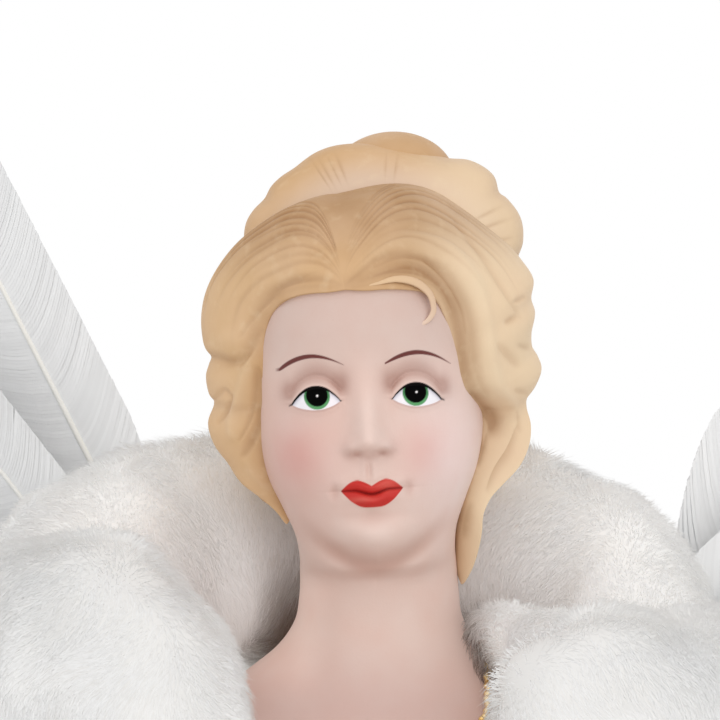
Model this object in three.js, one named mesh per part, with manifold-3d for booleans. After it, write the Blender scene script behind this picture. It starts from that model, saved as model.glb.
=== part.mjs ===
// Angel tree topper: a bisque bust with moulded hair on a gowned cone, with a fur collar and feather wings.
// Millimetres, +Z up, the face towards -Y, +X at the viewer's right.
// The origin is the centre of the cone's rim, on the surface that the topper stands on.
import * as THREE from "three";
import { mergeVertices } from "three/addons/utils/BufferGeometryUtils.js";
import Module from "manifold-3d";

const wasm = await Module();
wasm.setup();

// Running and seating gap between neighbouring pieces
const CLEARANCE = 0.3;

// Stiff cone that slips over the tip of the tree
const CONE_HEIGHT = 178;
const CONE_BASE_RADIUS = 58;
const CONE_TOP_RADIUS = 13;
const CONE_WALL = 1.2;

// Stuffed muslin torso that plugs into the cone and fills the bust's shoulder plate
const SPIGOT_LENGTH = 16;
const TORSO_HEIGHT = 84;
const HIP_RADIUS = 19;
const WAIST_HEIGHT = 25;
const WAIST_HALF_WIDTH = 17;
const WAIST_HALF_DEPTH = 15;
const RIB_HEIGHT = 54;
const RIB_HALF_WIDTH = 26;
const RIB_HALF_DEPTH = 16.5;

// Bisque bust: its eye line stands this far above the torso's top, and the head is turned and tilted
const EYE_LINE_HEIGHT = 62.4;
const HEAD_TURN = THREE.MathUtils.degToRad(5);
const HEAD_TILT = THREE.MathUtils.degToRad(3.5);
const BISQUE_WALL = 2.4;
const NECK_DOWEL_RADIUS = 4;
const NECK_DOWEL_LENGTH = 62;

// Gown
const CLOTH = 1;
const SKIRT_HEM_RADIUS = 82;
const SKIRT_FOLDS = 12;
const SKIRT_FOLD_DEPTH = 5.5;
const HEM_CLEARANCE = 1.5;
const PETTICOAT_HEM_RADIUS = 70;
const BODICE_EASE = 0.3;
const BODICE_RIM_EASE = 5;
const SASH_SEAM_RISE = 0.5;
const SASH_HEIGHT = 11;
const SASH_THICKNESS = 1.8;
const BEAD_RADIUS = 0.95;
const BEAD_THREAD_RADIUS = 0.45;
const BEAD_COUNT = 40;

// Arms: a wire through a stuffed sleeve, with a fur cuff and a bisque hand
const ARM_WIRE_RADIUS = 1;
const ARM_PEG_LENGTH = 9;
const SHOULDER_DROP = 9;
const SLEEVE_CAP_RADIUS = 9.5;
const SLEEVE_END_RADIUS = 11;
const UPPER_ARM_DROP = 42;
const FOREARM_REACH = 46;
const FOREARM_TURN_IN = 14;
const CUFF_WIDTH = 15;
const CUFF_THICKNESS = 5;
const HAND_LENGTH = 24;

// Fur collar
const COLLAR_LEFT_LIFT = 8;
const HAIR_ROOM = 2.6;

// Wings: fans of feathers on a card, on a wire stem that turns in a bracket
const BRACKET_WIDTH = 40;
const BRACKET_HEIGHT = 26;
const BRACKET_THICKNESS = 2;
const BRACKET_DROP = 33;
const SOCKET_SPACING = 28;
const SOCKET_RADIUS = 3;
const STEM_RADIUS = 1.2;
const WING_BACK = 24;
const WING_OUT = 9;
const WING_SWEEP = THREE.MathUtils.degToRad(12);
const WING_LEAN = THREE.MathUtils.degToRad(3);
const WING_CARD_RADIUS = 27;
const WING_CARD_HUB = 7;
const WING_CARD_THICKNESS = 2.2;
const FAN_TOP = THREE.MathUtils.degToRad(59);
const FAN_LOW = THREE.MathUtils.degToRad(-39);
const FEATHER_TWIST = THREE.MathUtils.degToRad(9);
const QUILL_RADIUS = 0.8;
const VANE_EDGE = 0.3;

// Levels of the main joints
const TORSO_BASE_Z = CONE_HEIGHT + CLEARANCE;
const SHOULDER_Z = TORSO_BASE_Z + TORSO_HEIGHT;
const WAIST_Z = TORSO_BASE_Z + WAIST_HEIGHT;

const finishes = {
  bisque: new THREE.MeshStandardMaterial({ name: "bisque", color: 0xe3c3b7, roughness: 0.55 }),
  card: new THREE.MeshStandardMaterial({ name: "card", color: 0xcbb994, roughness: 0.9 }),
  muslin: new THREE.MeshStandardMaterial({ name: "muslin", color: 0xe9e2d2, roughness: 0.95 }),
  wood: new THREE.MeshStandardMaterial({ name: "wood", color: 0xc9a26e, roughness: 0.8 }),
  satin: new THREE.MeshStandardMaterial({ name: "satin", color: 0xefe6d4, roughness: 0.4 }),
  net: new THREE.MeshStandardMaterial({ name: "net", color: 0xf6f3ec, roughness: 0.9 }),
  gold: new THREE.MeshStandardMaterial({ name: "gold", color: 0xc59a3c, roughness: 0.3, metalness: 1 }),
  fur: new THREE.MeshStandardMaterial({ name: "fur", color: 0xefeeec, roughness: 1 }),
  feather: new THREE.MeshStandardMaterial({ name: "feather", color: 0xf0f1f2, roughness: 0.8 }),
  wire: new THREE.MeshStandardMaterial({ name: "wire", color: 0x9a9a98, roughness: 0.4, metalness: 1 }),
};

// Geometry helpers

const { lerp, smoothstep } = THREE.MathUtils;

// Bell curve of a distance, one at zero
function bell(distance, width) {
  return Math.exp(-((distance / width) ** 2));
}

// A power that keeps the sign
function signedPower(value, power) {
  return Math.sign(value) * Math.abs(value) ** power;
}

// Smooth curve through rows of numbers, read at t from 0 to 1
function guide(rows) {
  const columns = rows[0].map((_, c) => new THREE.SplineCurve(rows.map((row, r) => new THREE.Vector2(r, row[c]))));
  return (t) => columns.map((curve) => curve.getPoint(t).y);
}

// Angles round a piece, closer together towards the front by the given share
function anglesRound(count, frontShare = 0) {
  return Array.from({ length: count }, (_, k) => {
    const u = (2 * k) / count - 1;
    return Math.PI * ((1 - frontShare) * u + frontShare * u ** 3);
  });
}

// Closed surface from rings of points: capped at both ends, or joined into a loop
function loft(rings, { loop = false } = {}) {
  const around = rings[0].length;
  const points = rings.flat();
  const index = [];
  const steps = loop ? rings.length : rings.length - 1;
  for (let r = 0; r < steps; r++) {
    const next = (r + 1) % rings.length;
    for (let k = 0; k < around; k++) {
      const a = r * around + k;
      const b = r * around + ((k + 1) % around);
      const c = next * around + ((k + 1) % around);
      const d = next * around + k;
      index.push(a, b, c, a, c, d);
    }
  }
  if (!loop) {
    capRing(points, index, 0, around, true);
    capRing(points, index, (rings.length - 1) * around, around, false);
  }
  return facingOut(points, index);
}

// Fan of triangles that closes one ring at its middle
function capRing(points, index, first, around, reversed) {
  const middle = new THREE.Vector3();
  for (let k = 0; k < around; k++) {
    middle.add(points[first + k]);
  }
  const hub = points.push(middle.divideScalar(around)) - 1;
  for (let k = 0; k < around; k++) {
    const a = first + k;
    const b = first + ((k + 1) % around);
    index.push(...(reversed ? [b, a, hub] : [a, b, hub]));
  }
}

// Wall between an outer and an inner stack of rings, open at both ends
function wall(outer, inner) {
  return loft([...outer, ...inner.slice().reverse()], { loop: true });
}

// Indexed geometry whose faces point out
function facingOut(points, index) {
  let volume = 0;
  for (let i = 0; i < index.length; i += 3) {
    const [a, b, c] = [points[index[i]], points[index[i + 1]], points[index[i + 2]]];
    volume += a.dot(new THREE.Vector3().crossVectors(b, c));
  }
  const turned = volume < 0 ? index.slice().reverse() : index;
  const geometry = new THREE.BufferGeometry().setFromPoints(points);
  geometry.setIndex(turned);
  geometry.computeVertexNormals();
  return geometry;
}

// Ring of points on an ellipse in a level plane
function ellipseRing(z, halfWidth, halfDepth, angles, y = 0) {
  return angles.map((a) => new THREE.Vector3(halfWidth * Math.sin(a), y - halfDepth * Math.cos(a), z));
}

// Solid of revolution about Z, from a profile of [radius, height] that starts and ends on the axis or closes
function turned(profile, segments) {
  const points = profile.map(([r, z]) => new THREE.Vector2(r, z));
  return new THREE.LatheGeometry(points, segments).rotateX(Math.PI / 2);
}

// Round bar along a curve
function bar(curve, radius, steps, sides = 8) {
  const section = new THREE.Shape(
    anglesRound(sides).map((a) => new THREE.Vector2(radius * Math.cos(a), radius * Math.sin(a))),
  );
  return new THREE.ExtrudeGeometry(section, { steps, bevelEnabled: false, extrudePath: curve });
}

// A geometry as a solid for joining and cutting
function solidOf(geometry) {
  const bare = geometry.clone();
  bare.deleteAttribute("normal");
  bare.deleteAttribute("uv");
  const merged = mergeVertices(bare, 1e-4);
  return new wasm.Manifold(
    new wasm.Mesh({
      numProp: 3,
      vertProperties: merged.attributes.position.array,
      triVerts: new Uint32Array(merged.index.array),
    }),
  );
}

// A joined or cut solid back as a geometry
function geometryOf(solid) {
  const mesh = solid.getMesh();
  const geometry = new THREE.BufferGeometry();
  geometry.setAttribute("position", new THREE.BufferAttribute(mesh.vertProperties, 3));
  geometry.setIndex(new THREE.BufferAttribute(mesh.triVerts, 1));
  geometry.computeVertexNormals();
  return geometry;
}

// First geometry with the others cut away
function cut(geometry, ...tools) {
  return geometryOf(tools.reduce((solid, tool) => solid.subtract(solidOf(tool)), solidOf(geometry)));
}

// Geometries joined into one body
function join(...geometries) {
  return geometryOf(geometries.map(solidOf).reduce((a, b) => a.add(b)));
}

// Named mesh, added to a group
function addPiece(group, name, geometry, material) {
  const mesh = new THREE.Mesh(geometry, material);
  mesh.name = name;
  group.add(mesh);
  return mesh;
}

// Bust: guide curves of the head, neck and shoulder plate from the crown down, about the eye line.
// Each row: front y, front z, back y, back z, half width, narrowing towards the front
const bustGuide = guide([
  [-1, 26, 6, 26, 2.5, 0],
  [-11, 23.6, 15, 23.6, 10.5, 0],
  [-16.3, 17.5, 19.5, 18.5, 14.3, 0],
  [-18.2, 10.5, 21, 11.5, 16, 0],
  [-18.6, 4.5, 21.3, 5, 16.6, 0.02],
  [-17.9, -1, 20.6, -1, 16.6, 0.04],
  [-18.2, -6.5, 19.2, -6, 16.3, 0.08],
  [-18.6, -12, 17.3, -10, 15.2, 0.15],
  [-18.4, -17, 15.8, -13.5, 13.4, 0.28],
  [-17.6, -21.5, 15, -17, 11.8, 0.4],
  [-14.5, -24.8, 14.5, -20.2, 11.3, 0.34],
  [-9.6, -26.9, 14.2, -23.5, 11.4, 0.12],
  [-8.3, -30.5, 14, -27.5, 11.6, 0.02],
  [-8.6, -35, 14.4, -31, 12.3, 0],
  [-10, -39.5, 15.8, -34.5, 15, 0],
  [-11.8, -43.5, 17.2, -38.5, 20, 0],
  [-14, -48, 18, -44, 26.5, 0],
  [-16.8, -53, 18.6, -51, 31, 0],
  [-19, -58.5, 19, -58, 33, 0],
  [-20.5, -64, 19, -64, 33.2, 0],
]);
const BUST_ROWS = 19;
const CROWN_ROW = 1;
const CHIN_ROW = 10;
const NECK_BASE_ROW = 13;
const NECKLINE_ROW = 15.5;
const NECKLINE_FRONT_ROW = 17.8;
const RING_ROUNDNESS = 0.94;
const SHOULDER_INSET_DROP = 0.7;

// Rows of the shoulder plate, which the torso inside it follows
const PLATE_ROWS = [NECK_BASE_ROW + 1, 15, 15.8, 16.6, 17.5, 18.4];
const bodyAngles = anglesRound(28);

// Point of the plain bust at a row and an angle from the front, set in from the surface
function bustPoint(row, angle, inset = 0) {
  const [frontY, frontZ, backY, backZ, halfWidth, narrowing] = bustGuide(row / BUST_ROWS);
  const side = signedPower(Math.sin(angle), RING_ROUNDNESS);
  const ahead = signedPower(Math.cos(angle), RING_ROUNDNESS);
  const alongFront = (1 + ahead) / 2;
  const x = Math.max(halfWidth - inset, 0.4) * side * (1 - narrowing * Math.max(ahead, 0) ** 2);
  const y = lerp(backY - inset, frontY + inset, alongFront);
  const z = lerp(backZ, frontZ, alongFront) - inset * SHOULDER_INSET_DROP;
  return new THREE.Vector3(x, y, z);
}

function bustRing(row, angles, inset = 0) {
  return angles.map((a) => bustPoint(row, a, inset));
}

// How far the face stands forward of the plain bust at a place on it
function faceRelief(x, z) {
  const across = Math.abs(x);
  const noseTip = bell(z + 6.7, 1.9) * 2.6 + smoothstep(-z, -3, 6.7) * (1 - smoothstep(-z, 6.7, 9.4)) * 2.3;
  const nose = noseTip * bell(x, 2.2) + 1.2 * bell(across - 2.5, 1.2) * bell(z + 7.5, 1.3);
  const sockets = -1.8 * bell(across - 7, 4) * bell(z - 0.8, 2.7);
  const eyeballs = 1.2 * bell(across - 7, 3) * bell(z + 0.2, 1.7);
  const cheeks = 0.8 * bell(across - 8.5, 5) * bell(z + 6.5, 5);
  const upperLip = 1.1 * bell(x, 3.6) * bell(z + 12.7, 1.1);
  const lowerLip = 1.3 * bell(x, 3) * bell(z + 15.3, 1.2);
  const chin = 1.1 * bell(x, 4) * bell(z + 21, 2.6) - 0.5 * bell(x, 4) * bell(z + 17.9, 1.2);
  return nose + sockets + eyeballs + cheeks + upperLip + lowerLip + chin;
}

// Hair stands out from the head above and beside the face
const FACE_HALF_WIDTH = 15.2;
const FACE_HALF_HEIGHT = 19.2;
const FACE_MIDDLE_Z = -4;
const HAIR_THICKNESS = 6.6;
const HAIR_TOP_THICKNESS = 4.4;
const HAIR_EDGE = 0.12;
const HAIR_WAVE = 0.8;
const HAIR_WAVE_LENGTH = 8.6;
const HAIR_END_SIDE_Z = -11;
const HAIR_END_BACK_Z = -16;

function hairThickness(point, angle) {
  const reach =
    (Math.abs(point.x) / FACE_HALF_WIDTH) ** 2.5 + (Math.abs(point.z - FACE_MIDDLE_Z) / FACE_HALF_HEIGHT) ** 2.5;
  const besideFace = Math.cos(angle) > 0 ? smoothstep(reach, 1, 1 + HAIR_EDGE * 4) : 1;
  const endZ = lerp(HAIR_END_BACK_Z, HAIR_END_SIDE_Z, Math.abs(Math.sin(angle)));
  const aboveEnd = smoothstep(point.z, endZ - 4, endZ + 5);
  const body = lerp(HAIR_THICKNESS, HAIR_TOP_THICKNESS, smoothstep(point.z, 8, 24));
  const flow = point.z + 0.25 * Math.abs(point.x) + 2.5 * Math.cos(angle);
  const wave = HAIR_WAVE * Math.cos((2 * Math.PI * flow) / HAIR_WAVE_LENGTH) * (1 - smoothstep(point.z, 12, 20));
  return besideFace * aboveEnd * (body + wave);
}

// Skin and hair of the bust, one casting
function bustSurfacePoint(row, angle) {
  const point = bustPoint(row, angle);
  const facing = smoothstep(Math.cos(angle), 0.1, 0.5);
  if (row <= CHIN_ROW + 1) {
    point.y -= facing * faceRelief(point.x, point.z);
    const hair = hairThickness(point, angle);
    const outward = new THREE.Vector3(point.x, point.y - 2, point.z - 4).normalize();
    point.addScaledVector(outward, hair);
  }
  return point;
}

// Rows of the bust, close together over the face
function bustRows() {
  const rows = [0.4, 0.8];
  for (let row = CROWN_ROW + 0.25; row < CHIN_ROW + 1; row += 0.37) {
    rows.push(row);
  }
  for (let row = CHIN_ROW + 1.1; row < BUST_ROWS; row += 0.8) {
    rows.push(row);
  }
  return [...rows, BUST_ROWS];
}

// Rolled bun on the crown, lobed round its outline
const BUN_HALF_WIDTH = 20;
const BUN_HALF_DEPTH = 13;
const BUN_HALF_HEIGHT = 16;
const BUN_MIDDLE = new THREE.Vector3(1.6, 9, 21.5);
const BUN_LOBES = 9;
const BUN_LOBE_DEPTH = 0.045;

function bunGeometry() {
  const ball = new THREE.SphereGeometry(1, 40, 14).toNonIndexed();
  ball.rotateX(Math.PI / 2);
  const at = ball.attributes.position;
  for (let i = 0; i < at.count; i++) {
    const across = Math.atan2(at.getZ(i), at.getX(i));
    const rim = Math.hypot(at.getX(i), at.getZ(i));
    const lobe = 1 + BUN_LOBE_DEPTH * rim * Math.cos(BUN_LOBES * across);
    at.setXYZ(
      i,
      BUN_MIDDLE.x + BUN_HALF_WIDTH * lobe * at.getX(i),
      BUN_MIDDLE.y + BUN_HALF_DEPTH * at.getY(i),
      BUN_MIDDLE.z + BUN_HALF_HEIGHT * lobe * at.getZ(i),
    );
  }
  return ball;
}

// Turns and tilts the head on its neck, fading out down to the shoulders
function poseHead(geometry) {
  const at = geometry.attributes.position;
  const point = new THREE.Vector3();
  const neckBaseZ = bustGuide(NECK_BASE_ROW / BUST_ROWS)[1];
  const chinZ = bustGuide((CHIN_ROW - 1) / BUST_ROWS)[1];
  for (let i = 0; i < at.count; i++) {
    point.fromBufferAttribute(at, i);
    const share = smoothstep(point.z, neckBaseZ, chinZ);
    point.z -= chinZ;
    point.applyAxisAngle(new THREE.Vector3(0, 0, 1), share * HEAD_TURN);
    point.applyAxisAngle(new THREE.Vector3(0, 1, 0), -share * HEAD_TILT);
    point.z += chinZ;
    at.setXYZ(i, point.x, point.y, point.z);
  }
  return geometry;
}

function bustGeometry() {
  const skin = loft(bustRows().map((row) => anglesRound(44, 0.45).map((a) => bustSurfacePoint(row, a))));
  const hollowRows = [2, 4, 6, 8, 9.5, 10.5, 11.5, 13, ...PLATE_ROWS, BUST_ROWS];
  const hollowRings = hollowRows.map((row) => bustRing(row, bodyAngles, BISQUE_WALL));
  const mouth = hollowRings.at(-1).map((p) => p.clone().setZ(p.z - 2 * BISQUE_WALL));
  return poseHead(cut(join(skin, bunGeometry()), loft([...hollowRings, mouth])));
}

// Body inside the gown: the torso's rings, up to the bust's own shoulder line

// Torso ring below the bust's plate, between the named widths, grown by a margin
function torsoRing(height, angles, grow = 0) {
  const [halfWidth, halfDepth] = torsoGuide(height);
  return ellipseRing(height - TORSO_HEIGHT, halfWidth + grow, halfDepth + grow, angles);
}

function torsoGuide(height) {
  const below = smoothstep(height, 0, WAIST_HEIGHT);
  const above = smoothstep(height, WAIST_HEIGHT, RIB_HEIGHT);
  const halfWidth = lerp(HIP_RADIUS, WAIST_HALF_WIDTH, below) + above * (RIB_HALF_WIDTH - WAIST_HALF_WIDTH);
  const halfDepth = lerp(HIP_RADIUS, WAIST_HALF_DEPTH, below) + above * (RIB_HALF_DEPTH - WAIST_HALF_DEPTH);
  return [halfWidth, halfDepth];
}

// Bust ring in the shoulder frame
function plateRing(row, angles, inset) {
  return bustRing(row, angles, inset).map((p) => p.setZ(p.z + EYE_LINE_HEIGHT));
}

const armPegHole = () => {
  const length = 4 * RIB_HALF_WIDTH;
  const hole = new THREE.CylinderGeometry(ARM_WIRE_RADIUS + CLEARANCE, ARM_WIRE_RADIUS + CLEARANCE, length, 10);
  return hole.rotateZ(Math.PI / 2).translate(0, 0, -SHOULDER_DROP);
};

function torsoGeometry() {
  const spigotRadius = CONE_TOP_RADIUS - CONE_WALL - CLEARANCE;
  const base = -TORSO_HEIGHT;
  const rings = [
    ellipseRing(base - SPIGOT_LENGTH, spigotRadius, spigotRadius, bodyAngles),
    ellipseRing(base, spigotRadius, spigotRadius, bodyAngles),
    ...[0, 12, WAIST_HEIGHT, 38, RIB_HEIGHT].map((h) => torsoRing(h, bodyAngles)),
    ...PLATE_ROWS.toReversed().map((row) => plateRing(row, bodyAngles, BISQUE_WALL + CLEARANCE)),
  ];
  const dowelHole = new THREE.CylinderGeometry(
    NECK_DOWEL_RADIUS + CLEARANCE,
    NECK_DOWEL_RADIUS + CLEARANCE,
    2 * NECK_DOWEL_LENGTH,
    16,
  );
  dowelHole.rotateX(Math.PI / 2).translate(0, NECK_AXIS_Y, DOWEL_FOOT_Z + NECK_DOWEL_LENGTH - CLEARANCE);
  return cut(loft(rings), dowelHole, armPegHole());
}

// The dowel stands on the neck's axis, with its foot in the torso
const NECK_AXIS_Y = (bustGuide(NECK_BASE_ROW / BUST_ROWS)[0] + bustGuide(NECK_BASE_ROW / BUST_ROWS)[2]) / 2;
const DOWEL_FOOT_Z = -16;

function neckDowelGeometry() {
  const dowel = new THREE.CylinderGeometry(NECK_DOWEL_RADIUS, NECK_DOWEL_RADIUS, NECK_DOWEL_LENGTH, 16);
  return dowel.rotateX(Math.PI / 2).translate(0, NECK_AXIS_Y, DOWEL_FOOT_Z + NECK_DOWEL_LENGTH / 2);
}

// Row of the bust where the neckline runs at an angle from the front
function necklineRow(angle) {
  const front = smoothstep(Math.cos(angle), 0.35, 1);
  return lerp(NECKLINE_ROW, NECKLINE_FRONT_ROW, front);
}

const gownAngles = anglesRound(32);

// Room between torso and bodice, which widens up to the plate's rim
function ease(height) {
  return (BODICE_RIM_EASE * height) / TORSO_HEIGHT;
}

// Heights of the sash's edges and folds on the torso
function sashHeights() {
  return [0, 0.5, 1].map((share) => WAIST_HEIGHT + SASH_SEAM_RISE + SASH_HEIGHT * share);
}

// Gown's bodice: cloth over the torso and the shoulder plate, up to the neckline
function bodiceRings(grow) {
  const lower = [WAIST_HEIGHT, ...sashHeights(), RIB_HEIGHT].map((h) => torsoRing(h, gownAngles, grow + ease(h)));
  const upper = [0, 0.33, 0.67, 1].map((share) =>
    gownAngles.map((a) => {
      const point = bustPoint(lerp(BUST_ROWS, necklineRow(a), share), a, -grow - BODICE_EASE);
      return point.setZ(point.z + EYE_LINE_HEIGHT);
    }),
  );
  return [...lower, ...upper];
}

function bodiceGeometry() {
  return cut(wall(bodiceRings(CLEARANCE + CLOTH), bodiceRings(CLEARANCE)), armPegHole());
}

// Beaded trim along the neckline, on the edge of the bodice
function neckBeadsGeometry() {
  const rings = [];
  const sides = anglesRound(6);
  const lift = CLEARANCE + BEAD_RADIUS;
  const line = (a) => {
    const point = bustPoint(necklineRow(a) - 0.42, a, -lift);
    return point.setZ(point.z + EYE_LINE_HEIGHT);
  };
  const count = 2 * BEAD_COUNT;
  for (let k = 0; k < count; k++) {
    const angle = (2 * Math.PI * k) / count;
    const radius = k % 2 ? BEAD_RADIUS : BEAD_THREAD_RADIUS;
    const along = line(angle + 0.01).sub(line(angle - 0.01)).normalize();
    const up = new THREE.Vector3(0, 0, 1);
    const out = new THREE.Vector3().crossVectors(along, up).normalize();
    up.crossVectors(out, along);
    rings.push(
      sides.map((s) =>
        line(angle).addScaledVector(out, radius * Math.cos(s)).addScaledVector(up, radius * Math.sin(s)),
      ),
    );
  }
  return loft(rings, { loop: true });
}

// Cone, petticoat, skirt and sash

function treeConeGeometry() {
  return turned(
    [
      [CONE_BASE_RADIUS - CONE_WALL, 0],
      [CONE_BASE_RADIUS, 0],
      [CONE_TOP_RADIUS, CONE_HEIGHT],
      [CONE_TOP_RADIUS - CONE_WALL, CONE_HEIGHT],
      [CONE_BASE_RADIUS - CONE_WALL, 0],
    ],
    36,
  );
}

// Radius of the cone's outside at a height
function coneRadius(z) {
  return lerp(CONE_BASE_RADIUS, CONE_TOP_RADIUS, z / CONE_HEIGHT);
}

const PETTICOAT_TOP_Z = CONE_HEIGHT * 0.9;
const PETTICOAT_HEM_Z = 8;

function petticoatGeometry() {
  const angles = anglesRound(30);
  const rings = (grow) =>
    [0, 0.35, 0.7, 1].map((share) => {
      const z = lerp(PETTICOAT_TOP_Z, PETTICOAT_HEM_Z, share);
      const flare = PETTICOAT_HEM_RADIUS - coneRadius(PETTICOAT_HEM_Z) - CLEARANCE;
      const radius = coneRadius(z) + CLEARANCE + flare * share ** 1.4 + grow;
      return ellipseRing(z, radius, radius, angles);
    });
  return wall(rings(CLOTH), rings(0));
}

// Skirt: gathered at the waist, falling in folds that deepen to the hem
function skirtRings(grow) {
  const angles = anglesRound(SKIRT_FOLDS * 6);
  const room = ease(WAIST_HEIGHT) + 2 * CLEARANCE + CLOTH;
  const waistWidth = WAIST_HALF_WIDTH + room;
  const waistDepth = WAIST_HALF_DEPTH + room;
  return [0, 0.12, 0.3, 0.5, 0.75, 1].map((share) => {
    const z = lerp(WAIST_Z, HEM_CLEARANCE, share);
    const fall = share ** 0.92;
    const depth = SKIRT_FOLD_DEPTH * share ** 0.8;
    return angles.map((a) => {
      const fold = depth * Math.cos(SKIRT_FOLDS * a);
      const radiusX = lerp(waistWidth, SKIRT_HEM_RADIUS, fall) + fold + grow;
      const radiusY = lerp(waistDepth, SKIRT_HEM_RADIUS, fall) + fold + grow;
      return new THREE.Vector3(radiusX * Math.sin(a), -radiusY * Math.cos(a), z);
    });
  });
}

function skirtGeometry() {
  return wall(skirtRings(CLOTH), skirtRings(0));
}

// Sash round the waist, over the seam of bodice and skirt
function sashGeometry() {
  const rings = (grow) =>
    sashHeights().map((height, k) => {
      const bulge = grow > 0 && k === 1 ? 0.6 : 0;
      return torsoRing(height, gownAngles, ease(height) + 2 * CLEARANCE + CLOTH + grow + bulge);
    });
  return wall(rings(SASH_THICKNESS), rings(0));
}

// Arms, made for the viewer's right side

const SHOULDER_OUT = RIB_HALF_WIDTH + 18.5;

// Middle line of the arm: shoulder, elbow, wrist
const armLine = new THREE.CatmullRomCurve3(
  [
    new THREE.Vector3(0, 0, 0),
    new THREE.Vector3(4.5, 1, -UPPER_ARM_DROP * 0.45),
    new THREE.Vector3(7, -2, -UPPER_ARM_DROP),
    new THREE.Vector3(7 - FOREARM_TURN_IN * 0.45, -FOREARM_REACH * 0.5, -UPPER_ARM_DROP - 7),
    new THREE.Vector3(7 - FOREARM_TURN_IN, -FOREARM_REACH, -UPPER_ARM_DROP - 4),
  ],
  false,
  "centripetal",
);

// Ring round the arm's line, square to it, at a share of the line and a distance back from there
function armRing(share, radius, back = 0) {
  const along = armLine.getTangent(share);
  const middle = armLine.getPoint(share).addScaledVector(along, -back);
  const across = new THREE.Vector3(1, 0, 0).addScaledVector(along, -along.x).normalize();
  const over = new THREE.Vector3().crossVectors(along, across);
  return anglesRound(14).map((a) =>
    middle.clone().addScaledVector(across, radius * Math.cos(a)).addScaledVector(over, radius * Math.sin(a)),
  );
}

const SLEEVE_END = 0.94;

function sleeveRadius(share) {
  const belled = smoothstep(share, 0.55, SLEEVE_END);
  return lerp(SLEEVE_CAP_RADIUS, SLEEVE_END_RADIUS, belled) - 1.2 * bell(share - 0.5, 0.2);
}

// The wire runs down the sleeve, and its upper end turns in as the peg that the arm swings on
function armWireGeometry() {
  return armBar(ARM_WIRE_RADIUS, SLEEVE_CAP_RADIUS + ARM_PEG_LENGTH, 1);
}

// Bar along the arm, from the peg's end to a share of the arm's line
function armBar(radius, pegReach, end) {
  const down = Array.from({ length: 13 }, (_, k) => armLine.getPoint(lerp(0.1, end, k / 12)));
  const bend = [[-pegReach, 0], [-4, 0], [-1, -0.8]].map(([x, z]) => new THREE.Vector3(x, 0, z));
  return bar(new THREE.CatmullRomCurve3([...bend, ...down]), radius, 18, 6);
}

function sleeveGeometry() {
  const cap = [0.97, 0.8, 0.45].map((share) =>
    armRing(0, SLEEVE_CAP_RADIUS * Math.sqrt(1 - share ** 2), SLEEVE_CAP_RADIUS * share),
  );
  const tube = [0, 0.2, 0.33, 0.45, 0.56, 0.68, 0.82, SLEEVE_END].map((share) => armRing(share, sleeveRadius(share)));
  return cut(loft([...cap, ...tube]), armBar(ARM_WIRE_RADIUS + 2 * CLEARANCE, 2 * SLEEVE_CAP_RADIUS, 1));
}

// Fur cuff round the end of the sleeve
function cuffGeometry() {
  const length = armLine.getLength();
  const shares = [0, 0.12, 0.35, 0.65, 0.88, 1].map((s) => SLEEVE_END + ((s - 1) * CUFF_WIDTH) / length);
  const swell = [0.35, 0.75, 1, 1, 0.75, 0.35];
  const inner = shares.map((share) => armRing(share, SLEEVE_END_RADIUS + CLEARANCE));
  const outer = shares.map((share, k) => armRing(share, SLEEVE_END_RADIUS + CLEARANCE + CUFF_THICKNESS * swell[k]));
  return wall(outer, inner);
}

// Bisque hand: wrist and palm lofted together, with fingers that taper and curl
function handGeometry() {
  const palm = loft(
    [
      [0, 3.4, 3.2],
      [4, 3.3, 2.8],
      [7, 4.4, 2.4],
      [12, 5, 2.3],
      [14.5, 4.2, 1.9],
    ].map(([x, halfWidth, halfThickness]) =>
      anglesRound(10).map((a) => new THREE.Vector3(x, halfWidth * Math.cos(a), halfThickness * Math.sin(a))),
    ),
  );
  const finger = (root, length, spread, curl, radius) => {
    const rings = [0, 0.35, 0.7, 1].map((share) => {
      const bendDown = curl * share ** 2;
      const middle = new THREE.Vector3(
        root.x + length * share * Math.cos(spread),
        root.y + length * share * Math.sin(spread),
        root.z - bendDown,
      );
      const r = radius * (1 - 0.35 * share);
      return anglesRound(6).map((a) => middle.clone().add(new THREE.Vector3(0, r * Math.cos(a), r * Math.sin(a))));
    });
    return loft(rings);
  };
  const reach = HAND_LENGTH - 12;
  const fingers = [-3, -1, 1, 3].map((y, k) =>
    finger(new THREE.Vector3(12, y, 0), reach * [0.84, 1, 0.97, 0.8][k], y * 0.04, 2.4, 1.15),
  );
  const thumb = finger(new THREE.Vector3(7, -3.2, -0.4), reach * 0.75, -0.75, 1.5, 1.25);
  const hand = join(palm, ...fingers, thumb);
  const wireSocket = new THREE.CylinderGeometry(ARM_WIRE_RADIUS + CLEARANCE, ARM_WIRE_RADIUS + CLEARANCE, 10, 10);
  return cut(hand, wireSocket.rotateZ(Math.PI / 2));
}

// Fur collar: a thick roll round the shoulders, open at the throat, with lapels that hang in front.
// Each row: degrees from the front, distance from the neck's axis, height, half width, half height
const collarGuide = guide([
  [26, 29, -10, 5, 6],
  [34, 30, -2, 9.5, 12],
  [46, 33, 8, 14.5, 17],
  [64, 35.5, 15, 17.5, 19],
  [92, 38, 23, 17.5, 19],
  [126, 34, 33, 16, 19.5],
  [180, 27, 37, 13, 20],
]);
const COLLAR_STEPS = 13;

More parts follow.
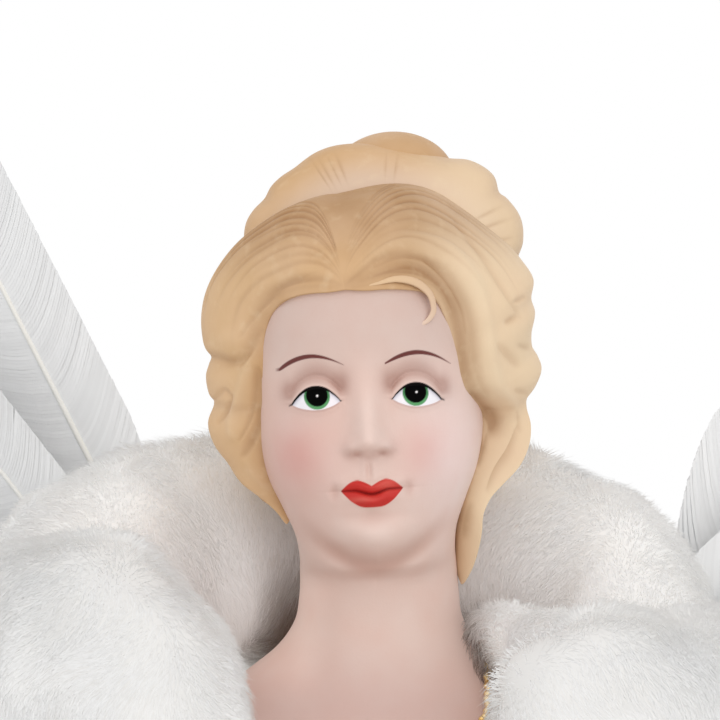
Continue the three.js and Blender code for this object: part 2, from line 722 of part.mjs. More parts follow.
// Ring of the collar at a share of the way from its front end to the back, on one side
function collarRing(share, side) {
  const [degrees, distance, height, halfWidth, halfHeight] = collarGuide(share);
  const angle = THREE.MathUtils.degToRad(degrees) * side;
  const out = new THREE.Vector3(Math.sin(angle), -Math.cos(angle), 0);
  const lift = side < 0 ? COLLAR_LEFT_LIFT * (1 - smoothstep(share, 0.35, 0.95)) : 0;
  return anglesRound(14).map((a) => {
    const point = out.clone().multiplyScalar(distance + halfWidth * signedPower(Math.cos(a), 0.9));
    return point.setZ(height + lift + halfHeight * signedPower(Math.sin(a), 0.9));
  });
}

// Outside of the dressed body, which the collar lies on
function dressedBody() {
  const dress = -(2 * CLEARANCE + BODICE_EASE + CLOTH + 2 * BEAD_RADIUS);
  const clearOfHair = (point) => point.addScaledVector(new THREE.Vector3(point.x, point.y, 0).normalize(), HAIR_ROOM);
  const head = [3, 5, 6.5, 7.4, 8, 8.6, 9.2, 9.8, 10.6].map((row) =>
    bodyAngles.map((a) => clearOfHair(bustSurfacePoint(row, a))),
  );
  const body = [12, 13, 14, 15, 16, 17, 18, BUST_ROWS].map((row) => bustRing(row, bodyAngles, dress));
  const below = body.at(-1).map((p) => p.clone().setZ(p.z - 20));
  return poseHead(loft([...head, ...body, below])).translate(0, 0, EYE_LINE_HEIGHT);
}

function collarGeometry() {
  const steps = Array.from({ length: COLLAR_STEPS }, (_, k) => k / (COLLAR_STEPS - 1));
  const right = steps.map((share) => collarRing(share, 1));
  const left = steps.slice(0, -1).map((share) => collarRing(share, -1));
  return cut(loft([...right, ...left.reverse()]), dressedBody());
}

// Wings, made for the viewer's right side

const BRACKET_Y = RIB_HALF_DEPTH + ease(TORSO_HEIGHT - BRACKET_DROP + BRACKET_HEIGHT / 2) + 2 * CLEARANCE + CLOTH;
const HINGE_Y = BRACKET_Y + BRACKET_THICKNESS + SOCKET_RADIUS;

// Plate on the back of the bodice with two upright sockets for the wing stems
function bracketGeometry() {
  const plate = new THREE.BoxGeometry(BRACKET_WIDTH, BRACKET_THICKNESS, BRACKET_HEIGHT);
  plate.translate(0, BRACKET_Y + BRACKET_THICKNESS / 2, 0);
  const upright = (radius, length) => new THREE.CylinderGeometry(radius, radius, length, 16).rotateX(Math.PI / 2);
  const sides = [-1, 1].map((side) => (side * SOCKET_SPACING) / 2);
  const posts = sides.map((x) => upright(SOCKET_RADIUS, BRACKET_HEIGHT).translate(x, HINGE_Y - 0.5, 0));
  const bores = sides.map((x) =>
    upright(STEM_RADIUS + CLEARANCE, 2 * BRACKET_HEIGHT).translate(x, HINGE_Y, STEM_FLOOR + BRACKET_HEIGHT / 2),
  );
  return cut(join(plate, ...posts), ...bores);
}

// The stem stands this far above the foot of its blind socket's middle
const STEM_FLOOR = 3;

// Stem: an upright pin in the socket, bent back and out to the foot of the wing card
function stemGeometry() {
  const pinFoot = -BRACKET_HEIGHT + STEM_FLOOR + BRACKET_HEIGHT / 2 + CLEARANCE;
  const socketTop = BRACKET_HEIGHT / 2;
  const cardFoot = BRACKET_DROP - WING_CARD_HUB - CLEARANCE;
  const line = new THREE.CatmullRomCurve3(
    [
      new THREE.Vector3(0, 0, pinFoot),
      new THREE.Vector3(0, 0, 0),
      new THREE.Vector3(0, 0, socketTop),
      new THREE.Vector3(0, 0, socketTop + 2),
      new THREE.Vector3(WING_OUT * 0.2, WING_BACK * 0.2, socketTop + 5),
      new THREE.Vector3(WING_OUT * 0.8, WING_BACK * 0.8, socketTop + 6),
      new THREE.Vector3(WING_OUT, WING_BACK, cardFoot - 3),
      new THREE.Vector3(WING_OUT, WING_BACK, cardFoot),
    ],
    false,
    "centripetal",
  );
  return bar(line, STEM_RADIUS, 18, 6);
}

// Card that the feathers are glued to: a round hub with a fan
function wingCardGeometry() {
  const outline = new THREE.Shape();
  outline.absarc(0, 0, WING_CARD_RADIUS, FAN_LOW - 0.1, FAN_TOP + 0.1, false);
  outline.absarc(0, 0, WING_CARD_HUB, FAN_TOP + 0.5, FAN_LOW - 0.5 + 2 * Math.PI, false);
  const card = new THREE.ExtrudeGeometry(outline, {
    depth: WING_CARD_THICKNESS,
    bevelEnabled: false,
    curveSegments: 10,
  });
  return card.translate(0, 0, -WING_CARD_THICKNESS / 2);
}

// One feather along +X: a round quill that flattens into a cambered vane
function featherGeometry({ length, width, bow }) {
  const stations = [0, 0.2, 0.31, 0.46, 0.68, 0.86, 1];
  const rings = stations.map((share) => {
    const vane = smoothstep(share, 0.2, 0.42) * (1 - smoothstep(share, 0.72, 1.02) ** 1.4);
    const half = Math.max((vane * width) / 2, QUILL_RADIUS * 0.75);
    const shaft = QUILL_RADIUS * (1 - 0.7 * share);
    const edge = Math.min(VANE_EDGE / 2, shaft * 0.8);
    const rise = bow * share ** 2;
    const droop = -0.06 * half;
    return [
      new THREE.Vector3(0, half, droop + edge),
      new THREE.Vector3(0, 0, shaft),
      new THREE.Vector3(0, -half, droop + edge),
      new THREE.Vector3(0, -half, droop - edge),
      new THREE.Vector3(0, 0, -shaft),
      new THREE.Vector3(0, half, droop - edge),
    ].map((p) => p.add(new THREE.Vector3(length * share, 0, rise)));
  });
  return loft(rings);
}

// The three layers of feathers: how many, first and last length, width, first and last angle,
// the side of the card they lie on, where their quills start and how far they lift off the card
const LAYER_OFFSET = WING_CARD_THICKNESS / 2 + CLEARANCE + QUILL_RADIUS;
const featherLayers = [
  { name: "flight_feather", count: 8, top: 150, low: 88, width: 30, from: 59, to: -39, side: -1, root: 10, lift: 0 },
  { name: "covert_feather", count: 5, top: 92, low: 66, width: 26, from: 49, to: -29, side: 1, root: 10, lift: 3 },
  { name: "down_feather", count: 4, top: 60, low: 48, width: 24, from: 39, to: -19, side: 1, root: 14, lift: 13 },
];

function addFeathers(fan, side, lean) {
  for (const layer of featherLayers) {
    for (let k = 0; k < layer.count; k++) {
      const share = k / (layer.count - 1);
      const length = lerp(layer.top, layer.low, share ** 1.25);
      const spoke = new THREE.Group();
      spoke.rotation.z = THREE.MathUtils.degToRad(lerp(layer.from, layer.to, share)) - lean * (1 - share) ** 3;
      const geometry = featherGeometry({ length, width: layer.width * (0.86 + 0.14 * (1 - share)), bow: 3 });
      const feather = addPiece(spoke, `${side}_${layer.name}_${k + 1}`, geometry, finishes.feather);
      feather.rotation.set(FEATHER_TWIST, -THREE.MathUtils.degToRad(layer.lift), 0, "YXZ");
      feather.position.set(layer.root, 0, layer.side * LAYER_OFFSET);
      fan.add(spoke);
    }
  }
}

function addWing(parent, side, mirror) {
  const wing = new THREE.Group();
  wing.position.set((mirror * SOCKET_SPACING) / 2, HINGE_Y, -BRACKET_DROP);
  wing.scale.x = mirror;
  addPiece(wing, `${side}_wing_stem`, stemGeometry(), finishes.wire);
  const swept = new THREE.Group();
  swept.position.set(WING_OUT, WING_BACK, BRACKET_DROP);
  swept.rotation.z = WING_SWEEP;
  const fan = new THREE.Group();
  fan.rotation.x = Math.PI / 2;
  addPiece(fan, `${side}_wing_card`, wingCardGeometry(), finishes.card);
  addFeathers(fan, side, mirror * WING_LEAN);
  swept.add(fan);
  wing.add(swept);
  parent.add(wing);
}

function addArm(parent, side, mirror) {
  const arm = new THREE.Group();
  arm.position.set(mirror * SHOULDER_OUT, 0, -SHOULDER_DROP);
  arm.scale.x = mirror;
  addPiece(arm, `${side}_arm_wire`, armWireGeometry(), finishes.wire);
  addPiece(arm, `${side}_sleeve`, sleeveGeometry(), finishes.satin);
  addPiece(arm, `${side}_fur_cuff`, cuffGeometry(), finishes.fur);
  const hand = addPiece(arm, `${side}_hand`, handGeometry(), finishes.bisque);
  const along = armLine.getTangent(1);
  hand.position.copy(armLine.getPoint(1)).addScaledVector(along, -2);
  hand.quaternion.setFromUnitVectors(new THREE.Vector3(1, 0, 0), along);
  parent.add(arm);
}

// Assembly

const topper = new THREE.Group();
addPiece(topper, "tree_cone", treeConeGeometry(), finishes.card);
addPiece(topper, "petticoat", petticoatGeometry(), finishes.net);
addPiece(topper, "gown_skirt", skirtGeometry(), finishes.satin);

const upperBody = new THREE.Group();
upperBody.position.z = SHOULDER_Z;
topper.add(upperBody);
addPiece(upperBody, "torso", torsoGeometry(), finishes.muslin);
addPiece(upperBody, "neck_dowel", neckDowelGeometry(), finishes.wood);
addPiece(upperBody, "gown_bodice", bodiceGeometry(), finishes.satin);
addPiece(upperBody, "waist_sash", sashGeometry(), finishes.gold);
addPiece(upperBody, "neckline_beads", neckBeadsGeometry(), finishes.gold);
addPiece(upperBody, "fur_collar", collarGeometry(), finishes.fur);
const bust = addPiece(upperBody, "bust", bustGeometry(), finishes.bisque);
bust.position.z = EYE_LINE_HEIGHT;
const bracket = addPiece(upperBody, "wing_bracket", bracketGeometry(), finishes.card);
bracket.position.z = -BRACKET_DROP;
addArm(upperBody, "left", 1);
addArm(upperBody, "right", -1);
addWing(upperBody, "left", 1);
addWing(upperBody, "right", -1);

export default topper;
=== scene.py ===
"""Dressed look of an angel tree topper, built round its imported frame.

Each sub-assembly is worked out in millimetres, in the part's own frame with the face towards -Y,
and its meshes are scaled to metres on the way into the scene.
"""

from __future__ import annotations

import logging
import math
from dataclasses import dataclass, field
from enum import Enum
from itertools import product

import bpy
import numpy as np
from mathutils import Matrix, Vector

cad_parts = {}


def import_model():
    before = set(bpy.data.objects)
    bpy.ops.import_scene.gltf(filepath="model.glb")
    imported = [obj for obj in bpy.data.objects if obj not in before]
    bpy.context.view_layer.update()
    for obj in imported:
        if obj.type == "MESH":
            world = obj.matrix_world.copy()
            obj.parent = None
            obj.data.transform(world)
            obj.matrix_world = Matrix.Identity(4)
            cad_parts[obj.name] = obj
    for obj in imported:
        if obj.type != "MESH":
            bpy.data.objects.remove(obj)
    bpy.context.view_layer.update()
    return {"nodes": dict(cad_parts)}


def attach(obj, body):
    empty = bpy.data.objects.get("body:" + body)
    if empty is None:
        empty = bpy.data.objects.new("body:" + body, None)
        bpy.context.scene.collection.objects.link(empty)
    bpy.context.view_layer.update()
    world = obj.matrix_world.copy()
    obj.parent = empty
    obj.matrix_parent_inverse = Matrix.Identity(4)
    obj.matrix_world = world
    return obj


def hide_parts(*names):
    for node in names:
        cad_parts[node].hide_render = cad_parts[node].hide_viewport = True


LOG = logging.getLogger("angel_topper")
MM = 0.001
Array = np.ndarray
Piece = bpy.types.Object
Material = bpy.types.Material
Socket = bpy.types.NodeSocket
Triple = tuple[float, float, float]
Colour = Triple
HASH_PRIMES = np.array([374761393, 668265263, 1440662683])
HASH_SEED, HASH_MIX, HASH_MASK = 974634777, 1274126177, 0xFFFFFFFF


class Body(str, Enum):
    """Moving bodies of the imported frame."""

    FIGURE = "figure"
    LEFT_ARM = "left_arm"
    RIGHT_ARM = "right_arm"
    LEFT_WING = "left_wing"
    RIGHT_WING = "right_wing"


class Side(Enum):
    """The angel's own sides, with the sign of X on each."""

    LEFT = 1
    RIGHT = -1

    @property
    def word(self) -> str:
        """The side as it stands in a piece's name."""
        return self.name.lower()


def smooth(low: float | Array, high: float | Array, at: Array) -> Array:
    """Eased step from 0 at low to 1 at high."""
    share = np.clip((at - low) / (high - low), 0.0, 1.0)
    return share * share * (3.0 - 2.0 * share)


def window(at: Array, low: float, full: float, fade: float | Array, end: float | Array) -> Array:
    """Eased window: rises from low to full and falls from fade to end."""
    return smooth(low, full, at) * (1 - smooth(fade, end, at))


def bell(distance: Array, width: float | Array) -> Array:
    """Bell curve of a distance, one at zero."""
    return np.exp(-((distance / width) ** 2))


def signed_power(value: Array, power: float) -> Array:
    """A power that keeps the sign."""
    return np.sign(value) * np.abs(value) ** power


def around(count: int) -> Array:
    """Angles once round a ring, as one row."""
    return np.linspace(0, 2 * np.pi, count, endpoint=False)[None, :]


def stacked(x: Array, y: Array, z: Array) -> Array:
    """Points from coordinates that fit each other by broadcasting."""
    return np.stack(np.broadcast_arrays(x, y, z), -1)


def unit(vectors: Array) -> Array:
    """Vectors scaled to length one."""
    return vectors / np.maximum(np.linalg.norm(vectors, axis=-1, keepdims=True), 1e-9)


def mix(first: Array | Colour, second: Array | Colour, share: Array) -> Array:
    """Blend of two colours or points, by the second's share at each vertex."""
    share = np.asarray(share)[..., None]
    return np.asarray(first) * (1.0 - share) + np.asarray(second) * share


def through(rows: Array, at: Array) -> Array:
    """Smooth curve through rows of numbers.

    Args:
        rows: One row of numbers for each knot.
        at: Fractional row numbers to read the curve at.

    Returns:
        The curve's numbers, with the last axis as in a row.
    """
    last = len(rows) - 1
    at = np.clip(np.asarray(at, float), 0.0, last)
    knot = np.minimum(at.astype(int), last - 1)
    t = (at - knot)[..., None]
    before, first = rows[np.maximum(knot - 1, 0)], rows[knot]
    second, after = rows[knot + 1], rows[np.minimum(knot + 2, last)]
    leave, arrive = (second - before) / 2, (after - first) / 2
    cubic = (2 * first - 2 * second + leave + arrive) * t**3
    square = (-3 * first + 3 * second - 2 * leave - arrive) * t**2
    return cubic + square + leave * t + first


def profile(knots: Array, at: Array) -> Array:
    """Smooth height through pairs of place and height, held level beyond the ends."""
    fine = through(np.asarray(knots, float), np.linspace(0, len(knots) - 1, 40 * len(knots)))
    return np.interp(at, fine[:, 0], fine[:, 1])


def turn(points: Array, axis: int, angle: float | Array) -> Array:
    """Points turned about one axis of the frame.

    Args:
        points: Points, last axis x, y, z.
        axis: 0, 1 or 2 for X, Y or Z.
        angle: Angle in radians, one for all or one for each point.

    Returns:
        The turned points.
    """
    first, second = (axis + 1) % 3, (axis + 2) % 3
    turned = np.array(points, float)
    cos, sin = np.cos(angle), np.sin(angle)
    turned[..., first] = points[..., first] * cos - points[..., second] * sin
    turned[..., second] = points[..., first] * sin + points[..., second] * cos
    return turned


def grain(points: Array, cell: float, seed: int) -> Array:
    """Smooth random field.

    Args:
        points: Points to read it at.
        cell: Size of its features.
        seed: Which field.

    Returns:
        Values from -1 to 1.
    """
    place = np.asarray(points, float) / cell + 1000.0
    corner = np.floor(place).astype(np.int64)
    ease = smooth(0.0, 1.0, place - corner)
    total = np.zeros(place.shape[:-1])
    for step in product((0, 1), repeat=3):
        mixed = ((corner + step) @ HASH_PRIMES + seed * HASH_SEED) & HASH_MASK
        mixed = ((mixed ^ (mixed >> 13)) * HASH_MIX) & HASH_MASK
        value = ((mixed ^ (mixed >> 16)) & 0xFFFF) / 32767.5 - 1.0
        total += value * np.abs(1 - np.array(step) - ease).prod(-1)
    return total


@dataclass
class Surface:
    """Mesh in the making: points in millimetres, faces, tints and shading normals."""

    points: Array
    faces: list[Array]
    tint: Array | None = None
    normals: Array | None = None

    @classmethod
    def grid(cls, points: Array, round_rows: bool = False, round_columns: bool = False) -> Surface:
        """Surface over a grid of points.

        Args:
            points: Points by row and column.
            round_rows: Whether the last row joins the first.
            round_columns: Whether the last column joins the first.

        Returns:
            The surface, with one quad in each cell.
        """
        rows, columns = points.shape[:2]
        r = np.arange(rows if round_rows else rows - 1)[:, None]
        c = np.arange(columns if round_columns else columns - 1)[None, :]
        below, beside = (r + 1) % rows, (c + 1) % columns
        corners = (r * columns + c, r * columns + beside, below * columns + beside, below * columns + c)
        quads = np.stack(np.broadcast_arrays(*corners), -1).reshape(-1, 4)
        return cls(points.reshape(-1, 3), [quads])

    @classmethod
    def tube(cls, points: Array, tint: Array | Colour | None = None) -> Surface:
        """Closed surface over a grid whose rows are rings, with a fan over each end.

        Args:
            points: Points by ring and place round it.
            tint: Their colours, or one colour for all.

        Returns:
            The surface, with its faces turned outwards.
        """
        made = cls.grid(points, round_columns=True)
        count, ring = len(made.points), points.shape[1]
        ends = [np.arange(ring), np.arange(count - ring, count)[::-1]]
        made.points = np.vstack([made.points, [made.points[end].mean(0) for end in ends]])
        if tint is not None:
            tint = np.broadcast_to(tint, points.shape).reshape(-1, 3)
            made.tint = np.vstack([tint, [tint[end].mean(0) for end in ends]])
        for k, end in enumerate(ends):
            made.faces.append(np.stack([np.roll(end, -1), end, np.full(ring, count + k)], -1))
        return made.facing_out()

    def facing(self, directions: Array) -> Surface:
        """Turns each face to the side that its first point's direction shows.

        Args:
            directions: One direction for each point.

        Returns:
            The same surface.
        """
        turned = []
        for face in self.faces:
            a, b, c = (self.points[face[:, k]] for k in (0, 1, 2))
            away = (np.cross(b - a, c - a) * directions[face[:, 0]]).sum(-1) < 0
            turned.append(np.where(away[:, None], face[:, ::-1], face))
        self.faces = turned
        return self

    def facing_out(self) -> Surface:
        """The closed surface with its faces turned outwards."""
        volume = 0.0
        for face in self.faces:
            a = self.points[face[:, 0]]
            for k in range(1, face.shape[1] - 1):
                b, c = self.points[face[:, k]], self.points[face[:, k + 1]]
                volume += np.einsum("ij,ij->", a, np.cross(b, c))
        if volume < 0:
            self.faces = [face[:, ::-1] for face in self.faces]
        return self

    @classmethod
    def joined(cls, parts: list[Surface]) -> Surface:
        """Several surfaces as one mesh.

        Args:
            parts: The surfaces, all with tints or all without.

        Returns:
            The joined surface.
        """
        starts = np.cumsum([0] + [len(part.points) for part in parts])
        faces = [face + start for part, start in zip(parts, starts) for face in part.faces]
        tint = None if parts[0].tint is None else np.vstack([part.tint for part in parts])
        normals = None if parts[0].normals is None else np.vstack([part.normals for part in parts])
        return cls(np.vstack([part.points for part in parts]), faces, tint, normals)

    def area(self) -> float:
        """Area of all the faces in square millimetres."""
        total = 0.0
        for face in self.faces:
            a = self.points[face[:, 0]]
            for k in range(1, face.shape[1] - 1):
                cross = np.cross(self.points[face[:, k]] - a, self.points[face[:, k + 1]] - a)
                total += 0.5 * np.linalg.norm(cross, axis=1).sum()
        return float(total)

    def to_object(self, name: str, material: Material) -> Piece:
        """Puts the surface into the scene.

        Args:
            name: Name of the piece.
            material: Its finish.

        Returns:
            The new object.
        """
        mesh = bpy.data.meshes.new(name)
        sizes = np.concatenate([np.full(len(face), face.shape[1]) for face in self.faces])
        corners = np.concatenate([face.ravel() for face in self.faces])
        mesh.vertices.add(len(self.points))
        mesh.vertices.foreach_set("co", (self.points * MM).astype(np.float32).ravel())
        mesh.loops.add(len(corners))
        mesh.loops.foreach_set("vertex_index", corners.astype(np.int32))
        mesh.polygons.add(len(sizes))
        mesh.polygons.foreach_set("loop_start", (np.cumsum(sizes) - sizes).astype(np.int32))
        mesh.update(calc_edges=True)
        mesh.shade_smooth()
        if self.tint is not None:
            layer = mesh.color_attributes.new("tint", "FLOAT_COLOR", "POINT")
            rgba = np.hstack([self.tint, np.ones((len(self.tint), 1))])
            layer.data.foreach_set("color", rgba.astype(np.float32).ravel())
        if self.normals is not None:
            mesh.normals_split_custom_set_from_vertices(self.normals.astype(np.float32))
        mesh.materials.append(material)
        made = bpy.data.objects.new(name, mesh)
        bpy.context.scene.collection.objects.link(made)
        return made


def fit(piece: Piece, body: Body, slot: str, *nodes: str) -> Piece:
    """Sets a piece on its body and reports it.

    Args:
        piece: The piece.
        body: The body that it moves with.
        slot: The record's material slot; not used.
        nodes: Solids of the frame that it stands for.

    Returns:
        The piece.
    """
    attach(piece, body.value)
    if nodes:
        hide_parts(*nodes)
    LOG.info("%s: %d faces on %s", piece.name, len(piece.data.polygons), body.value)
    return piece


class Shader:
    """Node tree of one material, with short ways to add what a finish needs."""

    def __init__(self, name: str) -> None:
        """Starts a material with a plain surface shader.

        Args:
            name: Name of the material.
        """
        self.material = bpy.data.materials.new(name)
        self.material.use_nodes = True
        self.nodes = self.material.node_tree.nodes
        self.links = self.material.node_tree.links
        self.surface = self.nodes["Principled BSDF"]

    def feed(self, socket: Socket, value: object) -> None:
        """Links a socket to an input, or sets the input to a plain value.

        Args:
            socket: The input.
            value: The socket or the value.
        """
        if isinstance(value, Socket):
            self.links.new(value, socket)
        else:
            socket.default_value = value

    def add(self, kind: str, values: dict[str | int, object] | None = None,
            **settings: object) -> bpy.types.Node:
        """Adds a node.

        Args:
            kind: Node type after "ShaderNode".
            values: Inputs by name or number: a socket is linked, anything else is set.
            settings: Properties of the node.

        Returns:
            The node.
        """
        node = self.nodes.new("ShaderNode" + kind)
        for key, value in settings.items():
            setattr(node, key, value)
        for key, value in (values or {}).items():
            self.feed(node.inputs[key], value)
        return node

    def set(self, **values: object) -> None:
        """Sets or links inputs of the surface shader.

        Args:
            values: Inputs by name, with _ for a space.
        """
        for key, value in values.items():
            self.feed(self.surface.inputs[key.replace("_", " ")], value)

    def tint(self) -> Socket:
        """Colour painted on the mesh."""
        return self.add("Attribute", attribute_name="tint").outputs["Color"]

    def place(self, stretch: Triple = (1.0, 1.0, 1.0)) -> Socket:
        """Place on the piece in metres, stretched along the axes."""
        where = self.add("TexCoord").outputs["Object"]
        return self.add("Mapping", {"Vector": where, "Scale": stretch}).outputs["Vector"]

    def noise(self, scale: float, detail: float = 2.0, stretch: Triple = (1.0, 1.0, 1.0)) -> Socket:
        """Cloudy noise: features to the metre, number of finer layers, scale along each axis."""
        values = {"Vector": self.place(stretch), "Scale": scale, "Detail": detail}
        return self.add("TexNoise", values).outputs["Fac"]

    def wave(self, scale: float, axis: str, distortion: float = 0.0) -> Socket:
        """Even bands across X, Y or Z, by bands to the metre times 0.314 and how far they wander."""
        values = {"Vector": self.place(), "Scale": scale, "Distortion": distortion}
        return self.add("TexWave", values, bands_direction=axis).outputs["Fac"]

    def math(self, operation: str, *values: object) -> Socket:
        """Sum, product or other operation on values that vary."""
        return self.add("Math", dict(enumerate(values)), operation=operation).outputs[0]

    def ranged(self, value: Socket, low: float, high: float, to_low: float, to_high: float) -> Socket:
        """Value moved from one range to another, clamped."""
        values = {"Value": value, "From Min": low, "From Max": high, "To Min": to_low, "To Max": to_high}
        return self.add("MapRange", values).outputs["Result"]

    def blend(self, share: object, first: object, second: object, way: str = "MIX") -> Socket:
        """Blend of two colours.

        Args:
            share: Share of the second.
            first: First colour.
            second: Second colour.
            way: Blend type.

        Returns:
            The blended colour.
        """
        node = self.add("Mix", data_type="RGBA", blend_type=way)
        for key, value in ((0, share), (6, first), (7, second)):
            self.feed(node.inputs[key], (*value, 1.0) if isinstance(value, tuple) else value)
        return node.outputs[2]

    def bump(self, height: Socket, depth: float, under: Socket | None = None) -> Socket:
        """Fine relief.

        Args:
            height: Its height from 0 to 1.
            depth: Its depth in metres.
            under: A coarser relief below it, or None.

        Returns:
            The normal.
        """
        values = {"Height": height, "Distance": depth, "Strength": 1.0}
        if under is not None:
            values["Normal"] = under
        return self.add("Bump", values).outputs["Normal"]


@dataclass(frozen=True)
class PaintedBisque:
    """Unglazed porcelain with colours painted on by hand."""

    name: str = "painted_bisque"
    roughness: float = 0.47
    mottle: float = 0.25
    pitting: float = 0.00002

    def material(self) -> Material:
        """Makes the finish."""
        shader = Shader(self.name)
        cloud = shader.noise(140.0, 3.0)
        specks = shader.noise(2600.0, 1.0)
        warm = shader.ranged(cloud, 0.3, 0.7, 0.0, self.mottle)
        colour = shader.blend(warm, shader.tint(), (0.94, 0.72, 0.66), "MULTIPLY")
        dust = shader.ranged(specks, 0.66, 0.8, 0.0, 0.12)
        colour = shader.blend(dust, colour, (0.86, 0.74, 0.68), "MULTIPLY")
        gloss = shader.ranged(cloud, 0.3, 0.7, self.roughness - 0.05, self.roughness + 0.05)
        normal = shader.bump(shader.noise(3200.0, 2.0), self.pitting)
        shine = shader.ranged(shader.tint(), 0.0, 0.12, 0.02, 0.22)
        shader.set(Base_Color=colour, Roughness=gloss, Normal=normal, Specular_IOR_Level=shine)
        return shader.material


@dataclass(frozen=True)
class MouldedHairPaint:
    """Matt blonde paint over moulded waves, with the painted shade in the grooves and the painted highlights
    carried by the mesh's tint.
    """

    name: str = "moulded_hair_paint"
    roughness: float = 0.5

    def material(self) -> Material:
        """Makes the finish."""
        shader = Shader(self.name)
        cloud = shader.noise(95.0, 3.0)
        worn = shader.noise(420.0, 4.0)
        colour = shader.blend(shader.ranged(cloud, 0.35, 0.7, 0.0, 0.35), shader.tint(), (0.76, 0.53, 0.35))
        colour = shader.blend(shader.ranged(worn, 0.55, 0.75, 0.0, 0.2), colour, (0.82, 0.65, 0.44))
        gloss = shader.ranged(worn, 0.3, 0.7, self.roughness - 0.06, self.roughness + 0.08)
        brush = shader.bump(shader.noise(1500.0, 3.0, (1.0, 1.0, 0.35)), 0.00003)
        shader.set(Base_Color=colour, Roughness=gloss, Normal=brush, Specular_IOR_Level=0.4)
        return shader.material


@dataclass
class Studio:
    """White sweep, soft lamps and the camera, level with the face."""

    camera_azimuth: float = 5.0
    camera_distance: float = 899.0
    lens: float = 310.0
    aim_across: float = -2.43
    aim_height: float = 329.6
    floor_half: float = 1000.0
    floor_drop: float = 0.4
    sky: Colour = (0.98, 0.99, 1.0)
    sky_strength: float = 0.69
    lamp_colour: Colour = (1.0, 0.985, 0.97)

    def camera(self) -> None:
        """Makes the scene's camera."""
        angle = math.radians(self.camera_azimuth)
        back = np.array([math.sin(angle), -math.cos(angle), 0.0])
        right = np.array([math.cos(angle), math.sin(angle), 0.0])
        target = right * self.aim_across + np.array([0.0, 0.0, self.aim_height])
        data = bpy.data.cameras.new("camera")
        data.lens = self.lens
        data.clip_start = 0.01
        data.clip_end = 20.0
        camera = bpy.data.objects.new("camera", data)
        bpy.context.scene.collection.objects.link(camera)
        camera.location = Vector((target + back * self.camera_distance) * MM)
        camera.rotation_euler = Vector(-back).to_track_quat("-Z", "Y").to_euler()
        bpy.context.scene.camera = camera

    def lamp(self, name: str, place: Triple, spread: float, power: float) -> None:
        """Adds a broad, distant lamp.

        Args:
            name: Name of the lamp.
            place: Direction that it stands in.
            spread: Its width as an angle in degrees.
            power: Its power in watts to the square metre.
        """
        data = bpy.data.lights.new(name, "SUN")
        data.angle = math.radians(spread)
        data.energy = power
        data.color = self.lamp_colour
        lamp = bpy.data.objects.new(name, data)
        bpy.context.scene.collection.objects.link(lamp)
        lamp.location = Vector(place)
        lamp.rotation_euler = Vector(place).to_track_quat("Z", "Y").to_euler()

    def world(self) -> None:
        """Even light from all round, seen as plain white."""
        world = bpy.data.worlds.new("studio")
        world.use_nodes = True
        bpy.context.scene.world = world
        nodes, links = world.node_tree.nodes, world.node_tree.links
        sky = nodes["Background"]
        sky.inputs["Color"].default_value = (*self.sky, 1.0)
        sky.inputs["Strength"].default_value = self.sky_strength
        white = nodes.new("ShaderNodeBackground")
        white.inputs["Color"].default_value = (1.0, 1.0, 1.0, 1.0)
        path = nodes.new("ShaderNodeLightPath")
        seen = path.outputs["Is Camera Ray"]
        for kind in ("Is Glossy Ray", "Is Transmission Ray"):
            either = nodes.new("ShaderNodeMath")
            either.operation = "MAXIMUM"
            links.new(seen, either.inputs[0])
            links.new(path.outputs[kind], either.inputs[1])
            seen = either.outputs[0]
        shown = nodes.new("ShaderNodeMixShader")
        links.new(seen, shown.inputs[0])
        links.new(sky.outputs[0], shown.inputs[1])
        links.new(white.outputs[0], shown.inputs[2])
        links.new(shown.outputs[0], nodes["World Output"].inputs["Surface"])

    def floor(self) -> None:
        """Pale floor that keeps the shadow."""
        shader = Shader("floor_paper")
        cloud = shader.noise(3.0, 2.0)
        shader.set(Base_Color=shader.blend(cloud, (0.90, 0.90, 0.90), (0.93, 0.93, 0.93)), Roughness=0.9)
        sides = np.array([-self.floor_half, self.floor_half])
        corners = stacked(sides[None, :], sides[:, None], -self.floor_drop)
        Surface.grid(corners).to_object("floor", shader.material)

    def build(self) -> None:
        """Sets up the camera, lamps, world and floor."""
        bpy.context.scene.view_settings.view_transform = "Standard"
        self.camera()
        self.lamp("front", (0.15, -0.93, 0.3), 50.0, 0.52)
        self.lamp("key", (0.75, -0.65, 0.1), 50.0, 0.42)
        self.lamp("fill", (-0.86, -0.5, 0.1), 60.0, 0.32)
        self.lamp("top", (0.0, -0.4, 0.9), 80.0, 0.5)
        self.world()
        self.floor()
        LOG.info("studio: camera, four lamps, world and floor")


